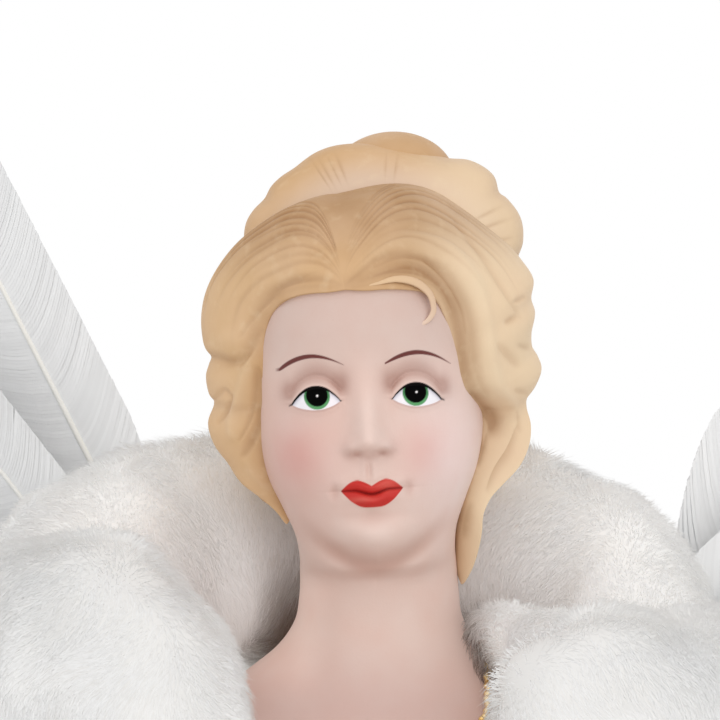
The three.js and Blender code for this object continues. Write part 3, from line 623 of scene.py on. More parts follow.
@dataclass
class Bust:
    """Bisque head, neck and shoulder plate, with a modelled and painted face.

    Rows of the guide, about the eye line: front y, front z, back y, back z, half width and how far
    that narrows to the front.
    """

    eye_line: float = 324.7
    head_turn: float = math.radians(5.0)
    head_tilt: float = math.radians(3.5)
    roundness: float = 0.94
    wall: float = 2.4
    iris_spacing: float = 14.05
    face_middle: float = -0.24
    nose_rise: float = 0.48
    mouth_rise: float = 0.29
    skin: Colour = (0.735, 0.565, 0.50)
    face_columns: int = 214
    guide: Array = field(default_factory=lambda: np.array([
        (-1, 26, 6, 26, 2.5, 0), (-11, 23.6, 15, 23.6, 10.5, 0), (-16.3, 17.5, 19.5, 18.5, 14.3, 0),
        (-18.2, 10.5, 21, 11.5, 16, 0), (-18.6, 4.5, 21.3, 5, 16.6, 0.02),
        (-17.9, -1, 20.6, -1, 16.6, 0.04), (-18.2, -6.5, 19.2, -6, 16.3, 0.08),
        (-18.6, -12, 17.3, -10, 15.2, 0.15), (-18.4, -17, 15.8, -13.5, 13.4, 0.28),
        (-17.6, -21.5, 15, -17, 11.8, 0.4), (-14.5, -24.8, 14.5, -20.2, 11.3, 0.34),
        (-9.6, -26.9, 14.2, -23.5, 11.4, 0.12), (-8.3, -30.5, 14, -27.5, 11.6, 0.02),
        (-8.6, -35, 14.4, -31, 12.3, 0), (-10, -39.5, 15.8, -34.5, 15, 0),
        (-11.8, -43.5, 17.2, -38.5, 20, 0), (-14, -48, 18, -44, 26.5, 0), (-16.8, -53, 18.6, -51, 31, 0),
        (-19, -58.5, 19, -58, 33, 0), (-20.5, -64, 19, -64, 33.2, 0),
    ], float))

    def shell(self, row: Array, angle: Array, inset: float | Array = 0.0) -> Array:
        """Plain surface of the bust, about the eye line and before the head is posed.

        Args:
            row: Fractional row of the guide.
            angle: Angle from the front, in radians.
            inset: Distance in from the surface.

        Returns:
            Points on the surface.
        """
        front_y, front_z, back_y, back_z, half, narrow = np.moveaxis(through(self.guide, row), -1, 0)
        side = signed_power(np.sin(angle), self.roundness)
        ahead = signed_power(np.cos(angle), self.roundness)
        share = (1.0 + ahead) / 2.0
        x = np.maximum(half - inset, 0.4) * side * (1.0 - narrow * np.maximum(ahead, 0.0) ** 2)
        y = (back_y - inset) * (1.0 - share) + (front_y + inset) * share
        z = back_z * (1.0 - share) + front_z * share - 0.7 * inset
        return stacked(x, y, z)

    def row_at(self, front_z: Array) -> Array:
        """Rows whose front line is at the given heights."""
        rows = np.linspace(0, len(self.guide) - 1, 2000)
        return np.interp(-np.asarray(front_z), -through(self.guide, rows)[:, 1], rows)

    def posed(self, points: Array) -> Array:
        """Turns and tilts the head on its neck and sets it at its height.

        Args:
            points: Points about the eye line.

        Returns:
            Points in the part's frame.
        """
        neck_z, chin_z = self.guide[13, 1], self.guide[9, 1]
        share = smooth(neck_z, chin_z, points[..., 2])
        moved = points - np.array([0.0, 0.0, chin_z])
        moved = turn(moved, 2, share * self.head_turn)
        moved = turn(moved, 1, -share * self.head_tilt)
        return moved + np.array([0.0, 0.0, chin_z + self.eye_line])

    @staticmethod
    def eye_lines(outward: Array) -> tuple[Array, Array]:
        """Edges of the eye opening.

        Args:
            outward: Distance outwards from the iris's middle.

        Returns:
            Heights of the upper and the lower lid.
        """
        upper = [(-3.35, -0.72), (-2.6, 0.08), (-1.4, 0.92), (0, 1.2), (1.4, 0.92), (2.6, 0.1), (3.65, -1.05)]
        lower = [(-3.35, -0.72), (-2.4, -1.3), (-1, -1.78), (0.2, -1.92), (1.5, -1.8), (2.7, -1.5),
                 (3.65, -1.05)]
        return profile(upper, outward), profile(lower, outward)

    @staticmethod
    def below_jaw(across: Array, z: Array) -> Array:
        """How far each place lies below the edge of the jaw."""
        jaw = [(0, -22.5), (3.8, -21.5), (8.2, -18.5), (11.8, -14.8), (14.1, -11.0), (15.6, -4.5)]
        return profile(jaw, across) - z

    @staticmethod
    def eye_height(x: Array, z: Array) -> Array:
        """Heights above the line through the irises, which lies a little askew."""
        return z + 0.085 + 0.0218 * x

    def relief(self, x: Array, z: Array) -> Array:
        """How far the face stands forward of the plain shell.

        Args:
            x: Place across the face.
            z: Height above the eye line.

        Returns:
            Height of the relief.
        """
        across = np.abs(x - self.face_middle)
        x, drop = x - self.face_middle, self.below_jaw(np.abs(x), z)
        nose_z, mouth_z, eye_z = z - self.nose_rise, z - self.mouth_rise, self.eye_height(x, z)
        nose_height = [(-11.5, 0), (-10.3, 0.08), (-9.6, 0.7), (-9.05, 2.2), (-8.4, 3.85), (-7.6, 4.75),
                       (-6.8, 4.85)]
        nose_height += [(-5.6, 4.2), (-4, 3.15), (-2, 2.05), (0, 1.2), (2, 0.6), (4, 0.2), (6.5, 0)]
        nose_width = [(-11.5, 2.0), (-9.4, 2.2), (-8.4, 2.5), (-7.4, 2.55), (-6, 2.25), (-4, 2.0), (0, 2.0),
                      (5, 2.6)]
        nose = profile(nose_height, nose_z) * np.exp(-((across / profile(nose_width, nose_z)) ** 2.3))
        wings = 1.1 * bell(across - 2.7, 0.95) * bell(nose_z + 8.05, 1.1)
        nostrils = -0.8 * bell(across - 1.6, 0.6) * bell(nose_z + 9.0, 0.42)
        sockets = -1.25 * bell(across - 6.6, 4.4) * bell(z - 1.4, 3.0)
        sockets = sockets - 0.5 * bell(across - 3.9, 1.4) * bell(z - 0.8, 2.2)
        outward = across - self.iris_spacing / 2
        ball = 1.3 * bell(np.hypot(outward / 3.9, (eye_z + 0.2) / 2.5), 1.0)
        upper, lower = self.eye_lines(outward)
        beside = window(outward, -4.2, -3.0, 3.4, 4.6)
        upper_lid = 0.32 * beside * window(eye_z - upper, -0.06, 0.1, 0.9, 2.2)
        crease = -0.3 * beside * bell(eye_z - upper - 1.75, 0.35)
        lower_lid = 0.16 * beside * window(lower - eye_z, -0.05, 0.12, 0.3, 1.1)
        cheeks = 0.9 * bell(across - 8.8, 5.0) * bell(z + 7.0, 5.2)
        mouth_line = -14.5 + 0.6 * smooth(0, 2.6, across)
        upper_lip = 1.0 * bell(across - 0.4, 3.6) * bell(mouth_z - mouth_line - 0.95, 0.85)
        lower_lip = 1.25 * bell(x, 3.1) * bell(mouth_z - mouth_line + 1.05, 0.95)
        parting = -0.62 * bell(across, 4.1) * bell(mouth_z - mouth_line, 0.2)
        philtrum = -0.34 * bell(x + 0.25, 0.34) * bell(mouth_z + 11.0, 1.4)
        philtrum = philtrum + 0.16 * bell(np.abs(x + 0.25) - 0.75, 0.34) * bell(mouth_z + 11.2, 1.2)
        corners = -0.55 * bell(across - 5.2, 0.75) * bell(mouth_z + 14.0, 1.1)
        chin = 1.0 * bell(x, 4.4) * bell(z + 20.2, 2.3) - 0.6 * bell(x, 4.2) * bell(z + 17.4, 1.1)
        below = -1.7 * bell(drop - 2.2, 1.9) * (1 - smooth(4.0, 11.0, across))
        eye = below + sockets + ball + upper_lid + crease + lower_lid
        face = nose + wings + nostrils + eye + cheeks
        return face + upper_lip + lower_lip + parting + philtrum + corners + chin

    def paint_eye(self, colour: Array, x: Array, z: Array, side: int) -> Array:
        """Paints one eye and its brow, with painted shade and painted highlights round it.

        Args:
            colour: Colours so far.
            x: Place across the face.
            z: Height above the eye line.
            side: Sign of x on this side of the face.

        Returns:
            The painted colours.
        """
        outward, z = side * x - self.iris_spacing / 2, self.eye_height(x, z)
        upper, lower = self.eye_lines(outward)
        near = window(outward, -5.4, -3.0, 3.6, 5.8)
        shadow = 0.5 * near * bell(z - upper - 2.1, 1.6) * (z > upper)
        shadow += 0.3 * bell(outward + 3.7, 1.4) * bell(z - 1.9, 1.9)
        shadow += 0.3 * bell(outward - 4.2, 1.5) * bell(z - 0.6, 1.8)
        colour = mix(colour, (0.36, 0.19, 0.15), np.clip(shadow, 0, 0.62))
        # Painted highlight on the upper lid, just above the lash line.
        colour = mix(colour, (0.83, 0.66, 0.59), 0.35 * near * bell(z - upper - 0.5, 0.25))
        # Painted shade under the lower lid.
        under = 0.4 * bell(lower - 0.12 - z, 0.2) * window(outward, -3.6, -2.8, 3.2, 3.9)
        colour = mix(colour, (0.35, 0.17, 0.15), under)
        inside = smooth(-0.07, 0.07, upper - z) * smooth(-0.07, 0.07, z - lower)
        inside = inside * window(outward, -3.45, -3.3, 3.65, 3.8)
        # Eye white greying towards the upper lid: painted shade under the lid.
        white = mix((0.90, 0.90, 0.95), (0.68, 0.68, 0.76), smooth(0.0, 1.0, z - upper + 1.0))
        colour = mix(colour, white, inside)
        reach = np.hypot(outward, z)
        green = mix((0.045, 0.22, 0.07), (0.10, 0.34, 0.13), smooth(0.2, -1.2, z))
        colour = mix(colour, green, inside * (1 - smooth(1.79, 1.91, reach)))
        pupil = inside * (1 - smooth(1.5, 1.62, np.hypot(outward, z - 0.15)))
        colour = mix(colour, (0.001, 0.001, 0.001), pupil)
        glint = np.hypot(outward + 0.05 - 0.2 * (side > 0), z - 0.12)
        colour = mix(colour, (0.95, 0.95, 0.95), 1 - smooth(0.09, 0.21, glint))
        thick = profile([(-3.6, 0.06), (-2, 0.24), (0, 0.36), (2, 0.36), (3.4, 0.3), (4.1, 0.05)], outward)
        lash = window(z - upper, -0.16, -0.06, thick - 0.06, thick + 0.06)
        wing = np.where(outward > 3.75, -1.1 - 0.5 * (outward - 3.75), upper)
        flick = bell(z - wing - 0.08, 0.13) * window(outward, 2.8, 3.5, 3.9, 4.25)
        lash = np.maximum(lash * window(outward, -3.6, -3.35, 3.6, 3.8), flick)
        colour = mix(colour, (0.006, 0.005, 0.005), np.clip(lash, 0, 1))
        arch = [(-4.1, 4.35), (-2.5, 5.12), (-0.9, 5.62), (0.7, 5.78), (2.3, 5.52), (3.8, 4.92), (5.35, 3.95)]
        if side < 0:
            stroke = [(-4.1, 0.03), (-2.5, 0.13), (-0.5, 0.25), (2, 0.33), (4, 0.34), (5, 0.26), (5.4, 0.05)]
        else:
            stroke = [(-4.1, 0.12), (-2.5, 0.27), (-0.5, 0.32), (1.5, 0.29), (3.4, 0.19), (5.4, 0.03)]
        half, off = profile(stroke, outward), np.abs(z - profile(arch, outward))
        brow = (1 - smooth(half - 0.07, half + 0.07, off)) * (np.abs(outward - 0.62) < 4.75)
        return mix(colour, (0.12, 0.022, 0.02), brow * 0.96)

    def paint(self, x: Array, z: Array, ahead: Array) -> Array:
        """Colours of the skin, with the painted face and painted light and shade.

        Args:
            x: Place across the bust.
            z: Height above the eye line.
            ahead: How far each point faces the front, from -1 to 1.

        Returns:
            One colour for each point.
        """
        colour = np.broadcast_to(np.array(self.skin), (*x.shape, 3)).copy()
        drop = self.below_jaw(np.abs(x), z)
        x, nose_z, mouth_z = x - self.face_middle, z - self.nose_rise, z - self.mouth_rise
        across = np.abs(x)
        blush = 0.32 * bell(np.hypot((x + 10.6) / 1.0, (z + 8.4) / 1.15), 3.4)
        blush += 0.22 * bell(np.hypot((x + 9.5) / 1.1, (z + 8.6) / 1.4), 6.0)
        blush += 0.32 * bell(np.hypot(x - 7.6, (z + 8.6) / 1.2), 3.6)
        # Painted highlight down the nose.
        colour = mix(colour, (0.86, 0.70, 0.63), 0.32 * bell(x, 2.0) * bell(z + 4.0, 5.5))
        # Painted light on the viewer's right cheek.
        colour = mix(colour, (0.88, 0.73, 0.70), 0.8 * bell(np.hypot((x - 12.0) / 1.0, (z + 9.0) / 1.8), 5.4))
        colour = mix(colour, (0.66, 0.27, 0.245), blush)
        # Painted shade in the hollows under the nose, under the lower lip, at the mouth corners, by the inner
        # eye corners and at the nostrils.
        painted_hollow_shade = 0.28 * bell(across - 2.1, 1.3) * bell(nose_z + 8.9, 0.6)
        painted_hollow_shade += 0.26 * bell(x, 3.4) * bell(z + 17.3, 0.7)
        painted_hollow_shade += 0.24 * bell(across - 5.4, 0.6) * bell(mouth_z + 14.2, 1.3)
        painted_hollow_shade += 0.1 * bell(across - 3.4, 0.8) * bell(z - 0.5, 4)
        painted_hollow_shade += 0.22 * bell(across - 1.65, 0.6) * bell(nose_z + 8.95, 0.4)
        colour = mix(colour, (0.42, 0.22, 0.17), painted_hollow_shade)
        # Painted shadow under the chin.
        under = window(drop, -0.6, 1.8, 2.4, 4.2) * (1 - smooth(6.0, 12.5, across))
        colour = mix(colour, (0.50, 0.28, 0.215), 0.45 * under)
        # Painted shade on the lower chest; level below adds painted shade on the forehead, a little painted
        # light low on the face and painted light on the viewer's left of the neck.
        colour = colour * mix((1.0, 1.0, 1.0), (0.85, 0.80, 0.81), smooth(-33.0, -46.0, z))
        painted_neck_light = smooth(5.0, 11.0, -x) * smooth(-24.0, -29.0, z) * smooth(-46.0, -38.0, z)
        level = 1.0 - 0.11 * smooth(1.0, 9.0, z) + 0.02 * smooth(-15.0, -22.0, z) + 0.22 * painted_neck_light
        colour = colour * level[..., None]
        for side in (-1, 1):
            colour = np.where((x * side > -0.5)[..., None], self.paint_eye(colour, x, z, side), colour)
        upper = profile([(0, -13.32), (1.1, -12.72), (2.1, -12.45), (3.2, -12.8), (4.45, -13.85)], across)
        lower = profile([(0, -16.4), (1.6, -16.25), (2.9, -15.5), (3.8, -14.6), (4.45, -13.85)], across)
        lips = smooth(-0.07, 0.07, upper - mouth_z) * smooth(-0.07, 0.07, mouth_z - lower)
        lips = lips * (1 - smooth(4.35, 4.5, across))
        # Painted highlight on the lower lip.
        shine = 0.6 * bell(x + 1.6, 2.0) * bell(mouth_z + 15.2, 0.4)
        red = mix((0.55, 0.028, 0.022), (0.70, 0.14, 0.11), shine)
        # Painted light on the viewer's right of the upper lip.
        red = mix(red, (0.72, 0.13, 0.10), 0.6 * bell(x - 2.2, 1.6) * bell(mouth_z + 13.3, 1.0))
        line = -14.5 + 0.62 * smooth(0, 2.6, across)
        red = mix(red, (0.20, 0.006, 0.006), 0.8 * bell(mouth_z - line, 0.15))
        colour = mix(colour, red, lips)
        return np.where((ahead > -0.3)[..., None], colour, np.array(self.skin))

    def build(self, finish: PaintedBisque) -> None:
        """Builds the skin of the bust.

        Args:
            finish: Its finish.
        """
        spans = [(25.6, 7.4, 0.3), (7.4, -3.4, 0.115), (-3.4, -7.4, 0.22), (-7.4, -9.8, 0.12),
                 (-9.8, -12.2, 0.2)]
        spans += [(-12.2, -16.7, 0.115), (-16.7, -28, 0.26), (-28, -64, 0.75)]
        counts = [round((top - low) / step) for top, low, step in spans]
        pieces = [np.linspace(top, low, n, endpoint=False) for (top, low, _), n in zip(spans, counts)]
        heights = np.concatenate([*pieces, [-64.0]])
        middle = np.arcsin(np.linspace(-0.74, 0.74, self.face_columns))
        beside = np.linspace(middle[-1], np.pi, 36)[1:]
        angle = np.concatenate([-beside[::-1], middle, beside[:-1]])[None, :]
        row = self.row_at(heights)[:, None]
        points = self.shell(row, angle)
        x, z = points[..., 0], points[..., 2]
        ahead = np.broadcast_to(np.cos(angle), x.shape)
        on_face = smooth(0.1, 0.5, ahead) * (1 - smooth(11.0, 11.6, row))
        tint = self.paint(x, z, ahead)
        points[..., 1] -= on_face * self.relief(x, z)
        inner = self.shell(np.array([[19.0], [17.0], [15.0]]), angle, self.wall)
        points = np.concatenate([points, inner])
        tint = np.concatenate([tint, np.broadcast_to(tint[-1:], inner.shape)])
        skin = Surface.tube(self.posed(points), tint)
        fit(skin.to_object("bust_skin", finish.material()), Body.FIGURE, "bisque", "bust")


@dataclass(frozen=True)
class Stroke:
    """Groove or ridge modelled along a line of the hair, given as it shows from the front, with painted shade
    along it where its shading is above zero and a painted highlight where it is below zero.
    """

    line: tuple[tuple[float, float], ...]
    width: float
    depth: float
    # Above zero painted shade along the stroke, below zero a painted highlight.
    painted_shading: float


@dataclass(frozen=True)
class Lock:
    """Band of moulded hair between paired edge points, each given as x, height and lift off the skin."""

    inner: tuple[Triple, ...]
    outer: tuple[Triple, ...]
    strokes: tuple[Stroke, ...]
    crown: float
    grooves: int
    seed: int
    rows: int
    depth: float = 0.26
    foot: float = 0.1
    combed: float = 0.5
    start: float = 0.35
    fall: float = 0.2
    # Share of painted light, in the pale colour, towards the lock's outer side.
    tone: float = 0.0
    columns: int = 124


@dataclass
class MouldedHair:
    """Waved hair of the bust: a combed cap, the front locks and the rolled bun."""

    bust: Bust
    blonde: Colour = (0.615, 0.372, 0.174)
    # shade serves painted shade; light is the lit blonde, for painted highlights, the lighter back of the cap
    # and the tendril; pale serves painted light on the viewer's right.
    shade: Colour = (0.31, 0.15, 0.055)
    light: Colour = (0.76, 0.575, 0.375)
    pale: Colour = (0.85, 0.69, 0.49)
    middle: Triple = (0.0, 1.5, 3.0)
    spread: Triple = (17.0, 20.0, 24.0)
    cap_lift: float = 3.6
    clearance: float = 0.7
    bun_middle: Triple = (3.0, 9.0, 18.0)
    bun_half_depth: float = 13.0

    def __post_init__(self) -> None:
        """Lays out the table that edge points are found on."""
        self.rows = np.linspace(0.2, 13.0, 300)
        self.angles = np.radians(np.linspace(0.0, 180.0, 181))
        self.table = self.bust.shell(self.rows[:, None], self.angles[None, :])
        self.outward = unit(self.table - np.array([0.0, 2.0, 4.0]))

    def on_head(self, x: float, z: float, lift: float) -> Array:
        """Point over the head that shows at a place from the front.

        Args:
            x: Place across.
            z: Height above the eye line.
            lift: Distance off the skin.

        Returns:
            The point, with x kept where the head is narrower than asked.
        """
        lifted = self.table + self.outward * lift
        columns = []
        for k in range(len(self.angles)):
            column = lifted[:, k]
            columns.append([np.interp(-z, -column[:, 2], column[:, axis]) for axis in (0, 1)])
        ring = np.array(columns)
        front = ring[: int(np.argmax(ring[:, 0])) + 1]
        return np.array([x, np.interp(abs(x), front[:, 0], front[:, 1]), z])

    def edge(self, points: tuple[Triple, ...], share: Array) -> Array:
        """Line over the head.

        Args:
            points: Its points as x, height and lift.
            share: Shares of the way through the points.

        Returns:
            Points along the line.
        """
        knots = np.array([self.on_head(*point) for point in points])
        for _ in range(3):
            knots[1:-1, 1] = (knots[:-2, 1] + 2 * knots[1:-1, 1] + knots[2:, 1]) / 4
        return through(knots, np.asarray(share) * (len(knots) - 1))

    def pressed(self, stroke: Stroke, x: Array, z: Array) -> Array:
        """How strongly a stroke acts on each place.

        Args:
            stroke: The stroke.
            x: Places across.
            z: Heights above the eye line.

        Returns:
            Shares from 0 to 1, fading at the stroke's ends.
        """
        share = np.linspace(0, 1, 40)
        line = through(np.array(stroke.line, float), share * (len(stroke.line) - 1))
        taper = 0.35 + 0.65 * np.sin(np.pi * share) ** 0.7
        strength = np.zeros(x.shape)
        for k in range(len(line) - 1):
            step = line[k + 1] - line[k]
            part = np.clip(((x - line[k, 0]) * step[0] + (z - line[k, 1]) * step[1]) / (step @ step), 0, 1)
            gap = np.hypot(x - line[k, 0] - part * step[0], z - line[k, 1] - part * step[1])
            full = taper[k] + (taper[k + 1] - taper[k]) * part
            strength = np.maximum(strength, full * bell(gap, stroke.width * full**0.5))
        return strength

    def over_brow(self, points: Array) -> Array:
        """Brings a lock's top clear of the forehead's skin.

        Args:
            points: Points of the top.

        Returns:
            The points, none of them nearer the skin than the clearance.
        """
        x, z = np.arange(-14.0, 15.0), np.arange(12.0, 25.0)
        front = np.array([[self.on_head(across, height, self.clearance)[1] for across in x] for height in z])
        column, row = np.clip(points[..., 0] + 14, 0, 27.99), np.clip(points[..., 2] - 12, 0, 11.99)
        j, i = column.astype(int), row.astype(int)
        u, v = column - j, row - i
        below, above = ((1 - u) * front[k, j] + u * front[k, j + 1] for k in (i, i + 1))
        skin = (1 - v) * below + v * above
        across, height = np.abs(points[..., 0]), points[..., 2]
        share = smooth(12.2, 14.4, height) * smooth(13.5, 11.5, across) * (height < 24)
        made = points.copy()
        made[..., 1] += share * (np.minimum(points[..., 1], skin) - points[..., 1])
        return made

    def lock(self, lock: Lock) -> Surface:
        """Builds one lock as a closed band with a crown and combed grooves, tinted with painted shade and
        painted highlights.

        Args:
            lock: Its lines and sizes.

        Returns:
            The lock.
        """
        chance = np.random.default_rng(lock.seed)
        along = np.linspace(0, 1, lock.rows)[:, None] ** 1.7
        across = np.linspace(0, 1, lock.columns)[None, :]
        inner = self.edge(tuple((x, z, lift + 0.5) for x, z, lift in lock.inner), along[:, 0])[:, None, :]
        outer = self.edge(lock.outer, along[:, 0])[:, None, :]
        middle, spread = np.array(self.middle), np.array(self.spread)
        chord = (inner + (outer - inner) * across[..., None] - middle) / spread
        bearing = unit(chord)
        low, high = (np.linalg.norm((side - middle) / spread, axis=-1) for side in (inner, outer))
        reach = low + (high - low) * (1 - (1 - across) ** 1.8)
        wide = np.linalg.norm(outer - inner, axis=-1)
        dome = (1 - (1 - across) ** 6) * np.maximum(0.0, 1 - across**5) ** 0.7
        rising = lock.start + (1 - lock.start) * smooth(0.0, 0.3 * lock.combed, along)
        falling = np.sqrt(np.maximum(0.0, 1 - (np.maximum(0.0, along - 1 + lock.fall) / lock.fall) ** 2))
        opened = np.clip(along / (0.32 * lock.combed), 0, 1)
        fan = lock.foot + (1 - lock.foot) * (1 - (1 - opened) ** 2.4)
        carved = np.zeros((lock.rows, lock.columns))
        for k in range(lock.grooves):
            at = (k + 0.5 + chance.uniform(-0.35, 0.35)) / lock.grooves
            begin, end = lock.combed * chance.uniform(-0.2, 0.05), lock.combed * chance.uniform(0.6, 1.1)
            wander = 0.014 * np.sin(along / lock.combed * chance.uniform(3, 9) + chance.uniform(0, 6))
            ends = smooth(begin, begin + 0.1, along) * smooth(0.0, 0.02, along)
            ends = ends * (1 - smooth(end - 0.18, end, along))
            distance = (across - np.clip(at + wander, 0.0, 1.0) * fan) * wide
            deep, wide_cut = chance.uniform(0.3, 1.0), chance.uniform(0.2, 0.42)
            carved = np.maximum(carved, deep * ends * bell(distance, wide_cut))
        height = lock.crown * dome * rising * falling
        plain = middle + bearing * (reach + height / spread.mean())[..., None] * spread
        # Painted shade in the combed grooves, along the edge by the face and over the top of the head;
        # strokes add more.
        painted_shade_share = 1.6 * lock.depth * carved + 0.3 * (1 - across) ** 9 + 0.6 * smooth(16.0, 26.5, plain[..., 2])
        # Painted highlight on the crown of the lock; strokes below zero add more.
        painted_highlight = 0.28 * dome * rising
        cut = lock.depth * carved
        for stroke in lock.strokes:
            press = self.pressed(stroke, plain[..., 0], plain[..., 2])
            cut = cut + stroke.depth * press
            painted_shade_share = painted_shade_share + max(stroke.painted_shading, 0.0) * press
            painted_highlight = painted_highlight + max(-stroke.painted_shading, 0.0) * press
        room = 0.75 * height + 0.5 * (reach - low) * spread.mean()
        height = height - np.minimum(cut * np.minimum(1.0, 4 * dome), room)
        top = self.over_brow(middle + bearing * (reach + height / spread.mean())[..., None] * spread)
        back = (chord[:, ::-16] - 0.12 * bearing[:, ::-16]) * spread + middle
        ring = np.concatenate([top, back], 1)
        colour = mix(self.blonde, self.light, np.clip(painted_highlight, 0, 1))
        # Painted light towards the outer side of the lock, in the pale colour.
        colour = mix(colour, self.pale, lock.tone * smooth(4.0, 16.0, np.abs(plain[..., 0])))
        colour = mix(colour, self.shade, np.clip(painted_shade_share, 0, 0.88))
        # The hidden back wall takes the shade colour: painted shade under the lock.
        under = np.broadcast_to(np.array(self.shade), back.shape)
        return Surface.tube(self.bust.posed(ring), np.concatenate([colour, under], 1))

    def left_lock(self) -> Lock:
        """The wave to the viewer's left, from the parting to the neck."""
        return Lock(
            inner=(
                (-2.4, 15, -0.3), (-4.6, 14.8, -0.3), (-7.4, 14.8, -0.3), (-9.3, 14.6, -0.4),
                (-11.4, 13.9, -0.5), (-13, 12.3, -0.6), (-13.9, 10.4, -0.7), (-14.4, 8.1, -0.7),
                (-14.6, 5.1, -0.7), (-14.6, 3.4, -0.7), (-14.7, 1.9, -0.7), (-15, -0.2, -0.7),
                (-15.2, -1.7, -0.7), (-15.5, -4.3, -0.7), (-15.5, -6.3, -0.7), (-15.2, -9, -0.7),
                (-14.7, -11.8, -0.7), (-13.8, -14.4, -0.6), (-13.1, -16.2, -0.5), (-12.5, -17.7, -0.5),
            ),
            outer=(
                (-2.6, 29.2, 3.4), (-5.2, 28.9, 3.8), (-9.5, 27.5, 4.2), (-13.2, 25.6, 4.6), (-17, 22.9, 5),
                (-20, 19.6, 5.4), (-22, 16.2, 5.8), (-22.9, 12.6, 5.8), (-22.8, 9.2, 5.8), (-22, 6.8, 5.2),
                (-22.7, 4.4, 5.8), (-22.5, 2.2, 5.6), (-21.8, 0.5, 5.2), (-22.9, -2.2, 5.9),
                (-22.2, -5.2, 5.6), (-20.5, -7.6, 4.3), (-19, -10.1, 3.3), (-16.2, -12.4, 1.4),
                (-14.2, -14.8, 0.5), (-12.7, -18, 0),
            ),
            strokes=(
                Stroke(((-2.8, 15.8), (-6, 17.1), (-9.4, 16.9), (-12.1, 15.7), (-14.9, 12.9), (-17.4, 9.3)),
                       0.55, 0.45, 0.4),
                Stroke(((-13.5, 12.9), (-15.6, 10.6), (-17.8, 9), (-20.6, 9)), 1.7, -0.6, -0.1),
                Stroke(((-14.7, 10), (-16.3, 7.6), (-18, 6.1), (-19.8, 5.9), (-21, 6.4), (-22.6, 7)),
                       0.85, 0.9, 0.42),
                Stroke(((-15.4, 8.6), (-16.8, 5.2), (-18.3, 1.1), (-19.8, -2.2), (-19.9, -5)),
                       1, -0.6, -0.25),
                Stroke(((-15.6, 4.6), (-15.5, 1.5), (-15.9, -3), (-17.4, -6.2), (-18.5, -7.9)),
                       0.7, 0.8, 0.5),
                Stroke(((-16, 3.9), (-16.9, -1.6), (-18.9, -5.6)), 0.34, 0.4, 0.35),
                Stroke(((-19.4, 0.9), (-20.3, -1.2), (-21.9, -2.8)), 0.45, 0.5, 0.35),
                Stroke(((-22.3, 0.5), (-20.9, 1.7), (-19.8, 0.8)), 0.5, 0.4, 0.25),
                Stroke(((-15.9, -5.7), (-15.5, -9), (-14.8, -11.6)), 0.5, 0.2, 0.35),
                Stroke(((-17.8, -8.8), (-17, -10.6), (-15.2, -12.8)), 0.7, -0.35, -0.15),
            ),
            crown=1.4, grooves=12, seed=4, rows=480, depth=0.21, combed=0.4,
        )

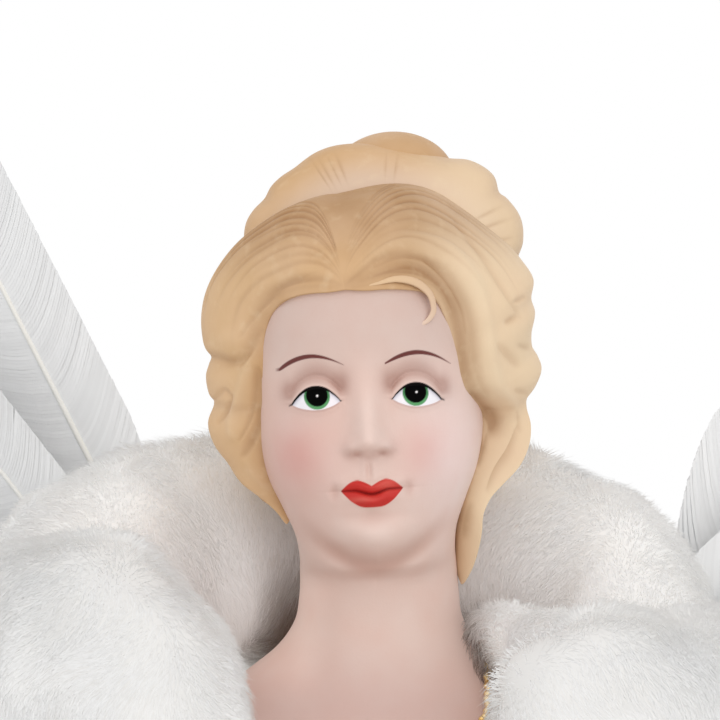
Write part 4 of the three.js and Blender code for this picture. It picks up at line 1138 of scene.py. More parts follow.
    def right_lock(self) -> Lock:
        """The wave to the viewer's right, from the parting to the shoulder."""
        return Lock(
            inner=(
                (-2.4, 15, -0.3), (0.5, 14.7, -0.3), (3.5, 14.7, -0.3), (6.4, 14.5, -0.3), (8.8, 14, -0.3),
                (10.6, 12.6, -0.4), (11.5, 10.6, -0.5), (12, 9, -0.7), (12.4, 7.4, -0.7), (12.6, 5.6, -0.7),
                (12.8, 3.6, -0.7), (13, 1.6, -0.7), (13.3, -0.2, -0.7), (14, -1.1, -0.7), (14.8, -2, -0.7),
                (15.6, -2.9, -0.7), (16.2, -3.8, -0.7), (16.4, -5.2, -0.7), (16.4, -6.8, -0.7),
                (16.2, -8.6, -0.7), (15.5, -10.6, -0.7), (14.8, -12.8, -0.7), (14.1, -14.8, -0.7),
                (13.3, -16.9, -0.7), (12.6, -19.2, -0.7), (12, -21.6, -0.6), (11.7, -24.2, -0.5),
                (11.6, -26.2, -0.5), (11.7, -27.4, -0.5),
            ),
            outer=(
                (-2.6, 29.2, 3.4), (3, 29.9, 3.8), (7.4, 29.5, 4.1), (11.2, 28.2, 4.4), (14.8, 25.7, 4.8),
                (18.2, 22.9, 5.3), (21, 20.4, 5.7), (23, 17.9, 6.2), (24.5, 15.2, 6.6), (24, 12.6, 6.4),
                (24.4, 10.6, 6.6), (23.7, 8, 6.2), (23.7, 6, 6.2), (24.5, 4.4, 6.6), (24.9, 2.8, 6.8),
                (24, 0.8, 6.4), (22.6, -1, 5.6), (22.4, -2.7, 5.4), (22.9, -5.2, 5.9), (22.5, -8, 5.6),
                (21, -10.8, 4.9), (18.4, -13.2, 3.2), (16.4, -15, 2.2), (15.2, -17, 1.6),
                (15.1, -19.4, 1.6), (14.7, -21.8, 1.5), (13.9, -24.4, 1), (12.8, -26.6, 0.3),
                (11.9, -28, -0.2),
            ),
            strokes=(
                Stroke(((-2, 16), (1.6, 17), (4.6, 17.9), (8, 17.8), (11, 16.2), (12.9, 13.4), (13.8, 10),
                        (14.2, 6.6), (14.4, 3.2), (14.8, 0.2), (16.2, -2.5), (17.9, -4.8), (18, -6.3)),
                       1.45, 1, 0.66),
                Stroke(((15.4, -1.4), (16.4, -2.8), (17.9, -4.8), (18, -6.3)), 1.1, 0.1, 0.4),
                Stroke(((9.5, 19), (12.6, 16.6), (14.6, 13.2), (15.5, 9.8), (15.8, 6.4), (16, 3.2),
                        (16.5, 0.4), (17.3, -1.2)), 0.5, 0.55, 0.25),
                Stroke(((0.2, 18), (4, 20.8), (7.6, 21.6), (12, 20.6), (14.8, 17.6), (16.6, 13.8),
                        (17.4, 9.5), (17.6, 5.6), (17.8, 2.6), (18.8, -0.6), (20.1, -2.4), (20.7, -4.2),
                        (20, -6.8), (18.3, -9.1), (16.8, -11.9), (15.7, -15), (15, -18.5)),
                       1.25, -0.75, -0.3),
                Stroke(((1.6, 18), (5.5, 19.4), (9.5, 18.8), (12.6, 15.8), (14.5, 11.8), (15, 8)),
                       0.26, 0.25, 0.3),
                Stroke(((2, 17), (6, 18.2), (9, 17.6), (11.6, 15.2), (13.2, 12)), 0.24, 0.2, 0.25),
                Stroke(((17.6, -3.2), (18.5, -4.6), (18.2, -6.2), (17.2, -7.2)), 0.8, 0.3, 0.35),
                Stroke(((16.9, -7), (16.1, -9.4), (15.3, -11.4)), 0.4, 0.3, 0.45),
                Stroke(((21, -6.2), (19.9, -9.6), (18, -12), (16.4, -14.7)), 0.65, 0.7, 0.5),
                Stroke(((20.9, -3.8), (21.7, -6.8)), 0.45, 0.25, 0.25),
                Stroke(((21.9, 9.8), (20.5, 9.1)), 0.5, 0.3, 0.4),
                Stroke(((19.2, 5.8), (20.8, 4.1), (21.9, 2.8)), 0.7, 0.4, 0.25),
                Stroke(((21.2, -0.8), (23, -1.3)), 0.45, 0.25, 0.2),
                Stroke(((22.2, 5.7), (23.6, 5.2)), 0.5, 0.25, 0.25),
                Stroke(((23.4, 12.6), (22, 12)), 0.4, 0.4, 0.25),
                Stroke(((14, 24), (17.6, 18.6), (20.6, 13.4), (22.6, 9.6)), 0.45, 0.25, 0.22),
                Stroke(((13.9, -17), (13.3, -19.4), (12.9, -21.4)), 0.8, 0.35, 0.35),
            ),
            crown=1.4, grooves=13, seed=31, rows=560, depth=0.2, combed=0.3, tone=0.66,
        )

    def tendril(self) -> Surface:
        """Builds the small curl that lies on the forehead."""
        line = ((-0.5, 15.2, 0.6), (2.2, 15.6, 1.2), (5, 16.1, 1.4), (7.7, 15.5, 1.3), (9.6, 13.8, 0.9),
                (10.1, 11.5, 0.4), (9.2, 10, 0.1), (7.6, 9.2, -0.3))
        along = np.linspace(0, 1, 90)
        middle = self.edge(line, along)
        ahead = unit(np.gradient(middle, axis=0))
        out = unit((middle - np.array(self.middle)) / np.array(self.spread) ** 2)
        side = unit(np.cross(ahead, out))
        angle = around(20)[..., None]
        wide = (0.85 * (1 - 0.8 * along**2) * smooth(-0.05, 0.5, along))[:, None, None]
        points = middle[:, None] + side[:, None] * np.cos(angle) * wide
        points = points + out[:, None] * np.sin(angle) * 0.4 * wide
        edge = np.broadcast_to(np.abs(np.cos(angle[..., 0])), points.shape[:2])
        # Painted shade along the curl's flanks.
        colour = mix(mix(self.blonde, self.light, 0.4), self.shade, 0.4 * edge**6)
        colour = mix(colour, self.bust.skin, 0.9 * along[:, None] ** 2.2)
        return Surface.tube(self.bust.posed(points), colour)

    def hairline(self, x: Array, z: Array) -> Array:
        """How far a place on the front lies outside the hairline.

        Args:
            x: Place across.
            z: Height above the eye line.

        Returns:
            Distance, below zero on the face.
        """
        line = np.array([
            (-13.0, -20.0), (-15.0, -12.0), (-15.8, -5.0), (-15.5, 4.7), (-14.5, 9.9), (-12.7, 12.5),
            (-10.2, 14.3),
            (-6.4, 14.8), (-2.4, 15.3), (2.2, 15.3), (5.9, 15.2), (9.4, 14.4), (11.5, 12.4), (12.8, 9.6),
            (13.4, 6.4),
            (13.8, 0.4), (15.4, -2.2), (16.5, -6.0), (15.9, -8.7), (14.3, -13.9), (13.0, -20.0)])
        bearing = np.arctan2(line[:, 0], line[:, 1])
        reach = np.hypot(line[:, 0], line[:, 1])
        return np.hypot(x, z) - np.interp(np.arctan2(x, z), bearing, reach)

    def cap(self) -> Surface:
        """Builds the combed cap under the locks, swept up to the bun at the back."""
        row = np.linspace(0.25, 11.6, 190)[:, None]
        angle = np.linspace(-np.pi, np.pi, 420, endpoint=False)[None, :]
        base = self.bust.shell(row, angle)
        x, z = base[..., 0], base[..., 2]
        front = np.cos(angle) + 0 * row
        beside = np.where(front > 0, smooth(0.0, 2.6, self.hairline(x, z)), 1.0)
        end = -3.0 - 11.5 * smooth(0.05, -0.55, front)
        above = smooth(end - 2.5, end + 3.5, z)
        rear = smooth(0.35, -0.25, front)
        comb = angle + 0.10 * np.sin(z * 0.22) + 0.012 * grain(base, 5.0, 3)
        carved = rear * np.maximum(0, np.cos(comb * 34)) ** 4 * (0.6 + 0.4 * grain(base, 9.0, 5))
        waves = 0.7 * rear * np.cos(2 * np.pi * (z + 2.2 * np.sin(angle * 5)) / 12.5)
        thick = 0.7 + (self.cap_lift + 0.9) * smooth(0.25, -0.2, front)
        thick = thick - 2.2 * bell(x + 1.0, 9.0) * bell(z - 18.0, 5.0) * (front > 0)
        lift = beside * above * (thick + waves - 0.4 * carved) - 6.0 * (1 - beside * above)
        points = base + unit(base - np.array([0.0, 2.0, 4.0])) * lift[..., None]
        # Painted shade in the combed grooves and over the front of the cap, under the locks; the back of the
        # cap is lighter.
        painted_shade_share = np.clip(0.45 * carved + 0.62 * (1 - rear), 0, 0.8)
        colour = mix(mix(self.blonde, self.light, 0.3 * rear), self.shade, painted_shade_share)
        return Surface.tube(self.bust.posed(points), colour)

    def bun(self) -> Surface:
        """Builds the rolled bun: plump lobes round the crown, pleated towards the parting."""
        outline = np.array([
            (-180, 17.5), (-140, 17.0), (-90, 16.0), (-40, 17.5), (-18, 20.6), (-6, 20.9), (0, 20.0),
            (8, 21.3),
            (17, 21.9), (26, 21.3), (30, 20.8), (37, 21.6), (47, 20.8), (56, 19.1), (68, 18.3), (80, 18.3),
            (90, 18.6),
            (99, 19.0), (108, 19.5), (116, 19.7), (126, 19.6), (133, 20.0), (139, 20.2), (145, 20.0),
            (151, 20.6),
            (157, 20.9), (164, 20.5), (172, 19.4), (180, 17.5)])
        plump = [(-180, 17.5), (-140, 17), (-90, 16), (-40, 17.5), (-10, 20.6), (20, 21.4), (50, 20.2),
                 (75, 18.6)]
        plump += [(100, 19.0), (125, 19.7), (150, 20.4), (170, 19.5), (180, 17.5)]
        notches = np.array([-30.0, 0.0, 29.5, 56.0, 145.0])
        bearing = np.radians(np.linspace(-180, 180, 460, endpoint=False))[None, :]
        swing = np.linspace(-0.497, 0.497, 130)[:, None] * np.pi
        degrees = np.degrees(bearing)
        reach = profile(outline, degrees)
        crease = np.zeros_like(degrees)
        for notch in notches:
            crease = np.maximum(crease, bell(degrees - notch, 4.0))
        rim = np.cos(swing)
        reach = mix(profile(plump, degrees)[..., None], reach[..., None], smooth(0.8, 1.0, rim))[..., 0]
        pleats = np.zeros((len(swing), degrees.shape[1]))
        places = ((10, 0.8), (18, 0.9), (24, 0.8), (78, 0.7), (84, 0.5), (108, 0.8), (112, 0.6), (116, 0.7))
        for at, width in (*places, (119, 0.5)):
            pleats = np.maximum(pleats, bell(degrees - at, width) * bell(rim - 0.78, 0.11) * (swing < 0))
        radius = reach * rim**0.82 - 0.2 * pleats
        x = self.bun_middle[0] + radius * np.cos(bearing)
        z = self.bun_middle[2] + radius * np.sin(bearing)
        y = self.bun_middle[1] + self.bun_half_depth * np.sin(swing)
        tone = mix(self.blonde, (0.68, 0.52, 0.41), 0.8 * smooth(0.95, 0.6, rim) + 0 * degrees)
        # Painted light on the viewer's right of the bun.
        tone = mix(tone, self.pale, 0.6 * smooth(5.0, 18.0, x))
        # Painted shade in the creases between lobes, in the pleats and round the outer rim.
        painted_shade_share = 0.12 * crease * smooth(0.8, 1.0, rim) + 0.3 * pleats + 0.12 * smooth(0.9, 1.0, rim)
        tone = mix(tone, self.shade, np.clip(painted_shade_share, 0, 0.8))
        return Surface.tube(self.bust.posed(stacked(x, y, z)), tone)

    def top_roll(self) -> Surface:
        """Builds the small roll that shows over the bun."""
        bearing = around(90)
        swing = np.linspace(-0.495, 0.495, 60)[:, None] * np.pi
        x = 5.5 + 9.3 * np.cos(swing) * np.cos(bearing)
        y = 12.0 + 9.0 * np.sin(swing)
        z = 31.0 + 7.3 * np.cos(swing) * np.sin(bearing)
        # Painted shade over the whole roll, deeper towards its lower edge.
        tone = mix(self.blonde, self.shade, 0.24 + 0.16 * smooth(35.5, 33.0, z))
        return Surface.tube(self.bust.posed(stacked(x, y, z)), tone)

    def build(self, finish: MouldedHairPaint) -> None:
        """Builds the front locks, and the cap with the bun.

        Args:
            finish: Their finish.
        """
        material = finish.material()
        locks = Surface.joined([self.lock(self.left_lock()), self.lock(self.right_lock()), self.tendril()])
        crown = Surface.joined([self.cap(), self.bun(), self.top_roll()])
        fit(locks.to_object("hair_locks", material), Body.FIGURE, "bisque")
        fit(crown.to_object("hair_crown", material), Body.FIGURE, "bisque")


@dataclass(frozen=True)
class PlushPile:
    """White plush pile, a little darker and warmer towards the roots: painted shade in the depth of the pile.
    """

    name: str = "plush_pile"
    root: Colour = (0.90, 0.885, 0.865)
    tip: Colour = (0.935, 0.93, 0.925)
    # Brown for painted shade deep in the fold beside the neck.
    fold: Colour = (0.115, 0.068, 0.044)
    whitest: float = 0.94

    def material(self) -> Material:
        """Makes the finish."""
        shader = Shader(self.name)
        cloud = shader.noise(120.0, 3.0)
        colour = shader.blend(shader.ranged(cloud, 0.42, 0.7, 0.0, 0.2), shader.tint(), (0.86, 0.83, 0.78))
        rough = shader.ranged(cloud, 0.3, 0.7, 0.8, 0.95)
        shader.set(Base_Color=colour, Roughness=rough, Specular_IOR_Level=0.0)
        return shader.material


@dataclass
class Pile:
    """Plush strands that grow out of a backing."""

    length: float = 4.4
    width: float = 0.12
    clump: float = 1.8
    per_piece: int = 33000
    open_way: Triple = (0.0, -1.0, 0.8)

    def strands(self, roots: Array, normals: Array, comb: Array, fold: Array, tone: Array, finish: PlushPile,
                seed: int) -> list[Surface]:
        """Grows the strands as tapered ribbons.

        Args:
            roots: Where they start.
            normals: Directions out of the backing.
            comb: Directions in which the pile is brushed.
            fold: Share of painted shade for how deep in a fold each strand grows, from 0 to 1.
            tone: Strength of each strand's colour, lowered as painted shade where it faces the lamps.
            finish: Colours of root and tip.
            seed: Start of the random numbers.

        Returns:
            Surfaces small enough for one piece each.
        """
        chance = np.random.default_rng(seed)
        count = len(roots)
        stray = chance.normal(size=(count, 3))
        length = self.length * chance.uniform(0.7, 1.12, (count, 1))
        first = unit(0.75 * normals + 0.8 * comb + 0.15 * stray)
        second = unit(0.25 * normals + 1.0 * comb + 0.18 * stray)
        bend = roots + first * length * 0.5
        tips = bend + second * length * 0.5
        cell = np.floor(roots / self.clump + 0.35 * chance.uniform(-1, 1, (count, 3))).astype(np.int64)
        cell = cell - cell.min(0)
        keys = (cell[:, 0] * (cell[:, 1].max() + 1) + cell[:, 1]) * (cell[:, 2].max() + 1) + cell[:, 2]
        _, group = np.unique(keys, return_inverse=True)
        sums = np.stack([np.bincount(group, tips[:, axis]) for axis in range(3)], -1)
        middles = sums / np.bincount(group)[:, None]
        tips = tips + 0.38 * (middles[group] - tips)
        flat = np.cross(first, normals) + 0.02 * stray
        half = unit(flat) * self.width * 0.5 * chance.uniform(0.8, 1.25, (count, 1))
        points = np.stack([roots - half, roots + half, bend + half * 0.85, bend - half * 0.85, tips], 1)
        soft = unit(normals + 0.06 * stray + 0.12 * second + np.array(self.open_way))
        face = unit(np.cross(half, second))
        face = face * np.sign((face * soft).sum(-1, keepdims=True))
        bright = chance.uniform(0.97, 1.03, (count, 1, 1))
        # Roots a little darker than tips: painted shade in the depth of the pile.
        ends = np.array([finish.root, finish.root, finish.tip, finish.tip, finish.tip])
        plain = np.clip(ends[None] * bright * tone[:, None, None], 0, finish.whitest)
        # Painted shade deep in the fold beside the neck.
        tint = mix(plain, finish.fold, fold[:, None])
        made = []
        for start in range(0, count, self.per_piece):
            part = slice(start, min(start + self.per_piece, count))
            base = 5 * np.arange(part.stop - part.start)[:, None]
            faces = [base + np.array([[0, 1, 2, 3]]), base + np.array([[3, 2, 4]])]
            both = []
            for way in (1, -1):
                shift = -0.02 * face[part][:, None] * (way < 0)
                block = Surface((points[part] + shift).reshape(-1, 3), faces, tint[part].reshape(-1, 3))
                block.facing(way * np.repeat(face[part], 5, 0))
                block.normals = np.repeat(unit(soft[part] + 0.9 * way * face[part]), 5, 0)
                both.append(block)
            made.append(Surface.joined(both))
        return made

    @staticmethod
    def set_in(name: str, blocks: list[Surface], material: Material, body: Body) -> None:
        """Sets strands into the scene, with no shadow or bounced light of their own.

        Args:
            name: Start of the pieces' names.
            blocks: The strands.
            material: Their finish.
            body: The body that they move with.
        """
        for number, block in enumerate(blocks):
            piece = fit(block.to_object(f"{name}_{number + 1}", material), body, "fur")
            piece.visible_shadow = False
            piece.visible_diffuse = False


@dataclass(frozen=True)
class FurRoll:
    """Stuffed roll of fur along a line: x, y, z, half thickness to the neck, half breadth across that."""

    line: tuple[tuple[float, float, float, float, float], ...]
    strands: int
    seed: int
    level: bool = False
    # Strength of the pile's colour where it faces the lamps: painted shade that evens out the lit front and
    # top of the roll.
    tone: float = 0.86


@dataclass
class FurCollar:
    """Fur collar: a roll that stands behind the head and two lapels that lie over the shoulders."""

    bust: Bust
    neck_axis_y: float = 3.0
    standing: float = 2.2
    lump: float = 1.3
    fullness: float = 0.86
    batch: int = 40000

    def rolls(self) -> list[FurRoll]:
        """The rolls of the collar: one behind the head, two lapels and the turned edge beside the neck."""
        back = FurRoll(
            line=(
                (-46, -16, 284, 5, 6), (-46, -8, 290, 12, 13), (-42.5, 6, 296, 15.5, 16.5),
                (-34, 19, 299.5, 16, 18), (-18, 27, 301.5, 15, 18.5), (0, 29.5, 302, 14, 18.5),
                (18, 27, 299.5, 15, 17.5), (30, 20, 295, 14.5, 16.5), (36.5, 10, 289, 13.5, 14),
                (38.5, -3, 281.5, 10.5, 11), (38, -11, 277, 5, 6),
            ),
            strands=120000, seed=51, tone=1.0,
        )
        left = FurRoll(
            line=(
                (-44, 16, 284, 6, 8), (-51, 4, 286, 13, 15), (-49, -13, 287.5, 15.5, 17),
                (-37.5, -27, 287, 15.5, 18), (-30, -31, 276, 14, 15.5), (-27, -29, 262, 11.5, 13),
                (-25.5, -26.5, 249, 8, 10), (-24.5, -25.5, 240, 3, 4),
            ),
            strands=85000, seed=52,
        )
        right = FurRoll(
            line=(
                (44, 16, 277, 6, 8), (51, 4, 278, 13, 14.5), (50, -12, 278.5, 15, 15.5),
                (40, -24, 279.5, 14.5, 15.5), (32, -29, 279.5, 12.5, 15), (30.4, -28.5, 265, 11, 13.5),
                (28.5, -26.5, 250, 8, 10), (27, -25.5, 240, 3, 4),
            ),
            strands=85000, seed=53,
        )
        turned = FurRoll(
            line=(
                (14, 9, 287, 3, 4), (17.5, 1, 288, 4.5, 6.5), (22.5, -9, 288.3, 6, 7),
                (28.5, -19, 287, 8, 8.5), (35, -26, 284, 9, 10), (43, -24, 281, 7, 8),
            ),
            strands=24000, seed=54, level=True, tone=0.95,
        )
        return [back, left, right, turned]

    def frames(self, roll: FurRoll, share: Array) -> tuple[Array, Array, Array, Array]:
        """Sections along a roll.

        Args:
            roll: The roll.
            share: Shares of its line.

        Returns:
            Middles, directions towards the neck, directions across those, and half sizes.
        """
        line = np.array(roll.line, float)
        at = np.asarray(share) * (len(line) - 1)
        read = through(line, at)
        ahead = unit(through(line, at + 0.05)[..., :3] - through(line, at - 0.05)[..., :3])
        inward = np.stack([-read[..., 0], self.neck_axis_y - read[..., 1], 0 * read[..., 0]], -1)
        if roll.level:
            inward = np.cross(ahead, np.array([0.0, 0.0, 1.0]))
        inward = unit(inward - ahead * (inward * ahead).sum(-1, keepdims=True))
        return read[..., :3], inward, np.cross(ahead, inward), read[..., 3:]

    def skin(self, roll: FurRoll, share: Array, angle: Array, grow: float) -> tuple[Array, Array]:
        """Lumpy surface of a roll.

        Args:
            roll: The roll.
            share: Shares of its line.
            angle: Angles round it.
            grow: Distance out from the named sizes.

        Returns:
            Points and the directions out of the surface.
        """
        middle, inward, over, half = self.frames(roll, share)
        half = np.maximum(half + grow, 0.6)
        cos, sin = (signed_power(part(angle), self.fullness)[..., None] for part in (np.cos, np.sin))
        points = middle + inward * half[..., :1] * cos + over * half[..., 1:] * sin
        out = unit(inward * cos / half[..., :1] + over * sin / half[..., 1:])
        bulge = self.lump * (grain(points, 12.0, roll.seed) + 0.55 * grain(points, 5.5, roll.seed + 7))
        return points + out * bulge[..., None], out

    def clear(self, points: Array, rolls: list[FurRoll]) -> Array:
        """Which points lie outside the bust and the given rolls.

        Args:
            points: The points.
            rolls: The rolls to stay out of.

        Returns:
            One truth value for each point.
        """
        z = points[:, 2] - self.bust.eye_line
        front_y, _, back_y, _, half, _ = np.moveaxis(through(self.bust.guide, self.bust.row_at(z)), -1, 0)
        room = 0.4 + 5.5 * smooth(-20.0, -9.0, z)
        wide, deep = half + room, (back_y - front_y) / 2 + room
        free = (points[:, 0] / wide) ** 2 + ((points[:, 1] - (front_y + back_y) / 2) / deep) ** 2 > 1
        for roll in rolls:
            middle, inward, over, size = self.frames(roll, np.linspace(0, 1, 80))
            size = np.maximum(size - self.standing, 0.6)
            ahead = np.cross(inward, over)
            for start in range(0, len(points), self.batch):
                part = points[start : start + self.batch]
                near = np.argmin(((part[:, None, :] - middle[None]) ** 2).sum(-1), 1)
                offset = part - middle[near]
                u = (offset * inward[near]).sum(-1) / size[near, 0]
                v = (offset * over[near]).sum(-1) / size[near, 1]
                past = (offset * ahead[near]).sum(-1) / size[near].mean(-1)
                free[start : start + self.batch] &= u * u + v * v + past * past > 0.9
        return free

    def painted_fold_shade(self, points: Array) -> Array:
        """How deep in the fold beside the neck each point lies, as a share of painted shade.

        Args:
            points: The points.

        Returns:
            Shares from 0 to 1.
        """
        z = points[:, 2] - self.bust.eye_line
        gap = np.abs(points[:, 0]) - through(self.bust.guide, self.bust.row_at(z))[:, 4]
        left = (0.25 + 0.75 * smooth(-20.0, -34.0, z)) * smooth(-8.0, -16.0, z)
        deep = np.where(points[:, 0] < 0, left, smooth(-27.0, -35.0, z))
        near = np.where(points[:, 0] < 0, smooth(9.0, 2.0, gap), smooth(6.5, 1.0, gap))
        return 0.97 * near * deep * smooth(-17.0, -8.0, points[:, 1]) * smooth(27.0, 17.0, points[:, 1])

    def roots(self, roll: FurRoll) -> tuple[Array, Array]:
        """Spreads strand roots evenly over a roll.

        Args:
            roll: The roll.

        Returns:
            Roots and the directions out of the backing.
        """
        chance = np.random.default_rng(roll.seed)
        fine = np.linspace(0, 1, 400)
        middle, _, _, half = self.frames(roll, fine)
        step = np.linalg.norm(np.gradient(middle, axis=0), axis=1) * half.sum(-1)
        total = np.cumsum(step) / step.sum()
        share = np.interp(chance.uniform(0, 1, roll.strands), total, fine)
        return self.skin(roll, share, chance.uniform(0, 2 * np.pi, roll.strands), -self.standing)

    def build(self, finish: PlushPile) -> None:
        """Builds the backing and the pile.

        Args:
            finish: Finish of the pile.
        """
        material = finish.material()
        rolls = self.rolls()
        share, angle = np.broadcast_arrays(np.linspace(0.01, 0.99, 120)[:, None], around(56))
        backs = []
        for roll in rolls:
            grid, _ = self.skin(roll, share, angle, -self.standing)
            # Backing in the root colour, lowered by the roll's tone as painted shade and blended to brown as
            # painted shade deep in the fold beside the neck.
            tint = mix(np.array(finish.root) * roll.tone, finish.fold, self.painted_fold_shade(grid.reshape(-1, 3)))
            backs.append(Surface.tube(grid, tint.reshape(grid.shape)))
        back = Surface.joined(backs).to_object("fur_collar_backing", material)
        fit(back, Body.FIGURE, "fur", "fur_collar")
        for number, roll in enumerate(rolls):
            roots, out = self.roots(roll)
            free = self.clear(roots, [other for other in rolls if other is not roll])
            roots, out = roots[free], out[free]
            swirl = np.stack([grain(roots, 9.0, roll.seed + k) for k in (11, 12, 13)], -1)
            comb = 0.65 * swirl + np.array([0.0, -0.25, -0.5])
            comb = unit(comb - out * (comb * out).sum(-1, keepdims=True))
            # Painted shade on strands that face the lamps, which evens out the lit front and top of the
            # lapels.
            tone = roll.tone + (1 - roll.tone) * smooth(0.9, 0.3, out @ np.array([0.0, -0.75, 0.65]))
            blocks = Pile().strands(roots, out, comb, self.painted_fold_shade(roots), tone, finish, roll.seed)
            Pile.set_in(f"fur_collar_pile_{number + 1}", blocks, material, Body.FIGURE)


@dataclass(frozen=True)
class FeatherVane:
    """White feather: fine barbs with a faint cool shade and a horny shaft."""

    name: str = "feather_vane"
    barb: Colour = (0.925, 0.93, 0.935)
    shaft: Colour = (0.87, 0.855, 0.81)

    def material(self) -> Material:
        """Makes the finish."""
        shader = Shader(self.name)
        cloud = shader.noise(70.0, 3.0)
        colour = shader.blend(shader.ranged(cloud, 0.4, 0.7, 0.0, 0.22), shader.tint(), (0.86, 0.87, 0.88))
        gloss = shader.ranged(shader.noise(900.0, 2.0), 0.3, 0.7, 0.45, 0.65)
        shader.set(Base_Color=colour, Roughness=gloss, Specular_IOR_Level=0.3)
        shader.set(Sheen_Weight=0.12, Sheen_Roughness=0.4)
        return shader.material


@dataclass(frozen=True)
class FeatherLayer:
    """One layer of a wing's fan: how many feathers, their sizes and spread, their place on the card."""

    name: str
    count: int
    top_length: float
    low_length: float
    width: float
    first: float
    last: float
    face: int
    root: float
    lift: float
    spacing: float


@dataclass
class Wing:
    """Fan of feathers on a card, for one side of the angel."""

    side: Side
    hinge: Triple = (14.0, 26.91, 229.3)
    fan_middle: Triple = (9.0, 24.0, 33.0)
    sweep: float = math.radians(12.0)
    twist: float = math.radians(9.0)
    offset: float = 2.2
    bow: float = 3.0
    quill: float = 0.68
    trailing: float = 1.08
    layers: tuple[FeatherLayer, ...] = (
        FeatherLayer("flight_feather", 8, 150, 88, 30, 59, -39, -1, 10, 0, 0.6),
        FeatherLayer("covert_feather", 5, 92, 66, 26, 49, -29, 1, 10, 3, 0.52),
        FeatherLayer("down_feather", 4, 60, 48, 24, 39, -19, 1, 14, 13, 0.46),
    )

    @property
    def lean(self) -> float:
        """Angle by which the top feathers lean over."""
        return math.radians(5.5 if self.side is Side.LEFT else 3.0)

    @property
    def leading(self) -> float:
        """Share of the half width that the upper vane keeps."""
        return 1.0 if self.side is Side.LEFT else 0.62

    def placed(self, points: Array, layer: FeatherLayer, share: float) -> Array:
        """Sets a feather's points on the card and the card on its stem.

        Args:
            points: Points along +X from the quill's end.
            layer: The layer.
            share: The feather's place in the fan, from 0 at the top.

        Returns:
            Points in the part's frame.
        """
        mirror = self.side.value
        moved = turn(turn(points, 0, self.twist), 1, -math.radians(layer.lift))
        moved = moved + np.array([layer.root, 0.0, layer.face * self.offset])
        spoke = math.radians(layer.first + (layer.last - layer.first) * share)
        moved = turn(moved, 2, spoke - mirror * self.lean * (1 - share) ** 3)
        moved = turn(turn(moved, 0, math.pi / 2), 2, self.sweep) + np.array(self.fan_middle)
        moved = moved + np.array(self.hinge)
        return moved * np.array([mirror, 1.0, 1.0])

    def feather(self, layer: FeatherLayer, number: int, finish: FeatherVane) -> Surface:
        """Builds one feather: a shaft with a row of barbs down each side.

        Args:
            layer: The layer it belongs to.
            number: Its number from the top.
            finish: Colours of barbs and shaft.

        Returns:
            The feather.
        """
        chance = np.random.default_rng(1000 * layer.count + 17 * number + self.side.value)
        share = number / (layer.count - 1)
        length = layer.top_length + (layer.low_length - layer.top_length) * share**1.25
        half = layer.width * (0.86 + 0.14 * (1 - share)) / 2
        step = np.linspace(0, 1, 6)[None, :]
        parts = [self.shaft(layer, share, length, finish)]
        for hand in (-1, 1):
            count = int(0.86 * length / layer.spacing)
            tip = np.linspace(0.15, 0.999, count)[:, None] + chance.normal(0, 0.0004, (count, 1))
            reach = self.outline(tip, half * (self.leading if hand > 0 else self.trailing))
            reach = reach * (1 + chance.normal(0, 0.004, (count, 1)))
            downy = 1 - smooth(0.2, 0.34, tip)
            ahead = 0.8 * reach + 0.05 * length * smooth(0.7, 1.0, tip) + 3.0 * downy
            start = np.maximum(tip * length - ahead, 0.1 * length)
            slip = np.zeros_like(tip)
            for split in chance.uniform(0.35, 0.95, 2):
                gap = tip - split
                slip += np.sign(gap) * chance.uniform(0.15, 0.5) * np.exp(-np.abs(gap) / 0.035)
            x = start + (tip * length - start) * (0.4 * step + 0.6 * step**1.7) + slip * step**2
            curl = downy * chance.normal(0, 1.0, (count, 1)) * step**2
            y = hand * (reach * step**0.92 + 0.6 * curl)
            along = np.clip(x / length, 0, 1)
            z = self.bow * along**2 - 0.1 * reach * step**2 + 1.6 * curl
            z = z + chance.normal(0, 0.03, (count, 1)) * step
            wide = 1.15 * layer.spacing * (1 - 0.3 * step**3) * (1 - 0.45 * downy)
            slope = 0.06 * wide
            edges = [np.stack([x - wide, y, z + slope], -1), np.stack([x + wide, y, z - slope], -1)]
            strip = np.stack(edges, 2).reshape(-1, 3)
            index = np.arange(count * 12).reshape(count, 6, 2)
            corners = [index[:, :-1, 0], index[:, 1:, 0], index[:, 1:, 1], index[:, :-1, 1]]
            quads = np.stack(corners, -1).reshape(-1, 4)
            tone = np.array(finish.barb) * chance.uniform(0.95, 1.03, (count, 1, 1, 1))
            tone = tone * ((1 - 0.05 * step) * (1 - 0.13 * smooth(0.3, 0.75, tip)))[..., None, None]
            tint = np.broadcast_to(tone, (count, 6, 2, 3)).reshape(-1, 3)
            parts.append(Surface(self.placed(strip, layer, share), [quads], tint))
        return Surface.joined(parts)

    @staticmethod
    def outline(along: Array, half: float) -> Array:
        """Half width of a vane at shares of its length, from its greatest half width."""
        return half * smooth(0.06, 0.36, along) * np.maximum(0.02, 1 - smooth(0.72, 1.03, along) ** 1.5)

    def shaft(self, layer: FeatherLayer, share: float, length: float, finish: FeatherVane) -> Surface:
        """Builds a feather's shaft.

        Args:
            layer: The layer.
            share: The feather's place in the fan.
            length: Its length.
            finish: Colour of the shaft.

        Returns:
            The shaft.
        """
        along = np.linspace(0, 0.985, 36)[:, None]
        angle = around(8)
        radius = self.quill * (1 - 0.86 * along)
        points = stacked(along * length, radius * np.cos(angle), self.bow * along**2 + radius * np.sin(angle))
        return Surface.tube(self.placed(points, layer, share), finish.shaft)

    def build(self, finish: FeatherVane) -> None:
        """Builds the wing's feathers, one piece for each layer.

        Args:
            finish: Their finish.
        """
        material = finish.material()
        body = Body.LEFT_WING if self.side is Side.LEFT else Body.RIGHT_WING
        for layer in self.layers:
            name = f"{self.side.word}_{layer.name}"
            fan = Surface.joined([self.feather(layer, k, finish) for k in range(layer.count)])
            nodes = [f"{name}_{k + 1}" for k in range(layer.count)]
            fit(fan.to_object(f"{name}s", material), body, "feather", *nodes)


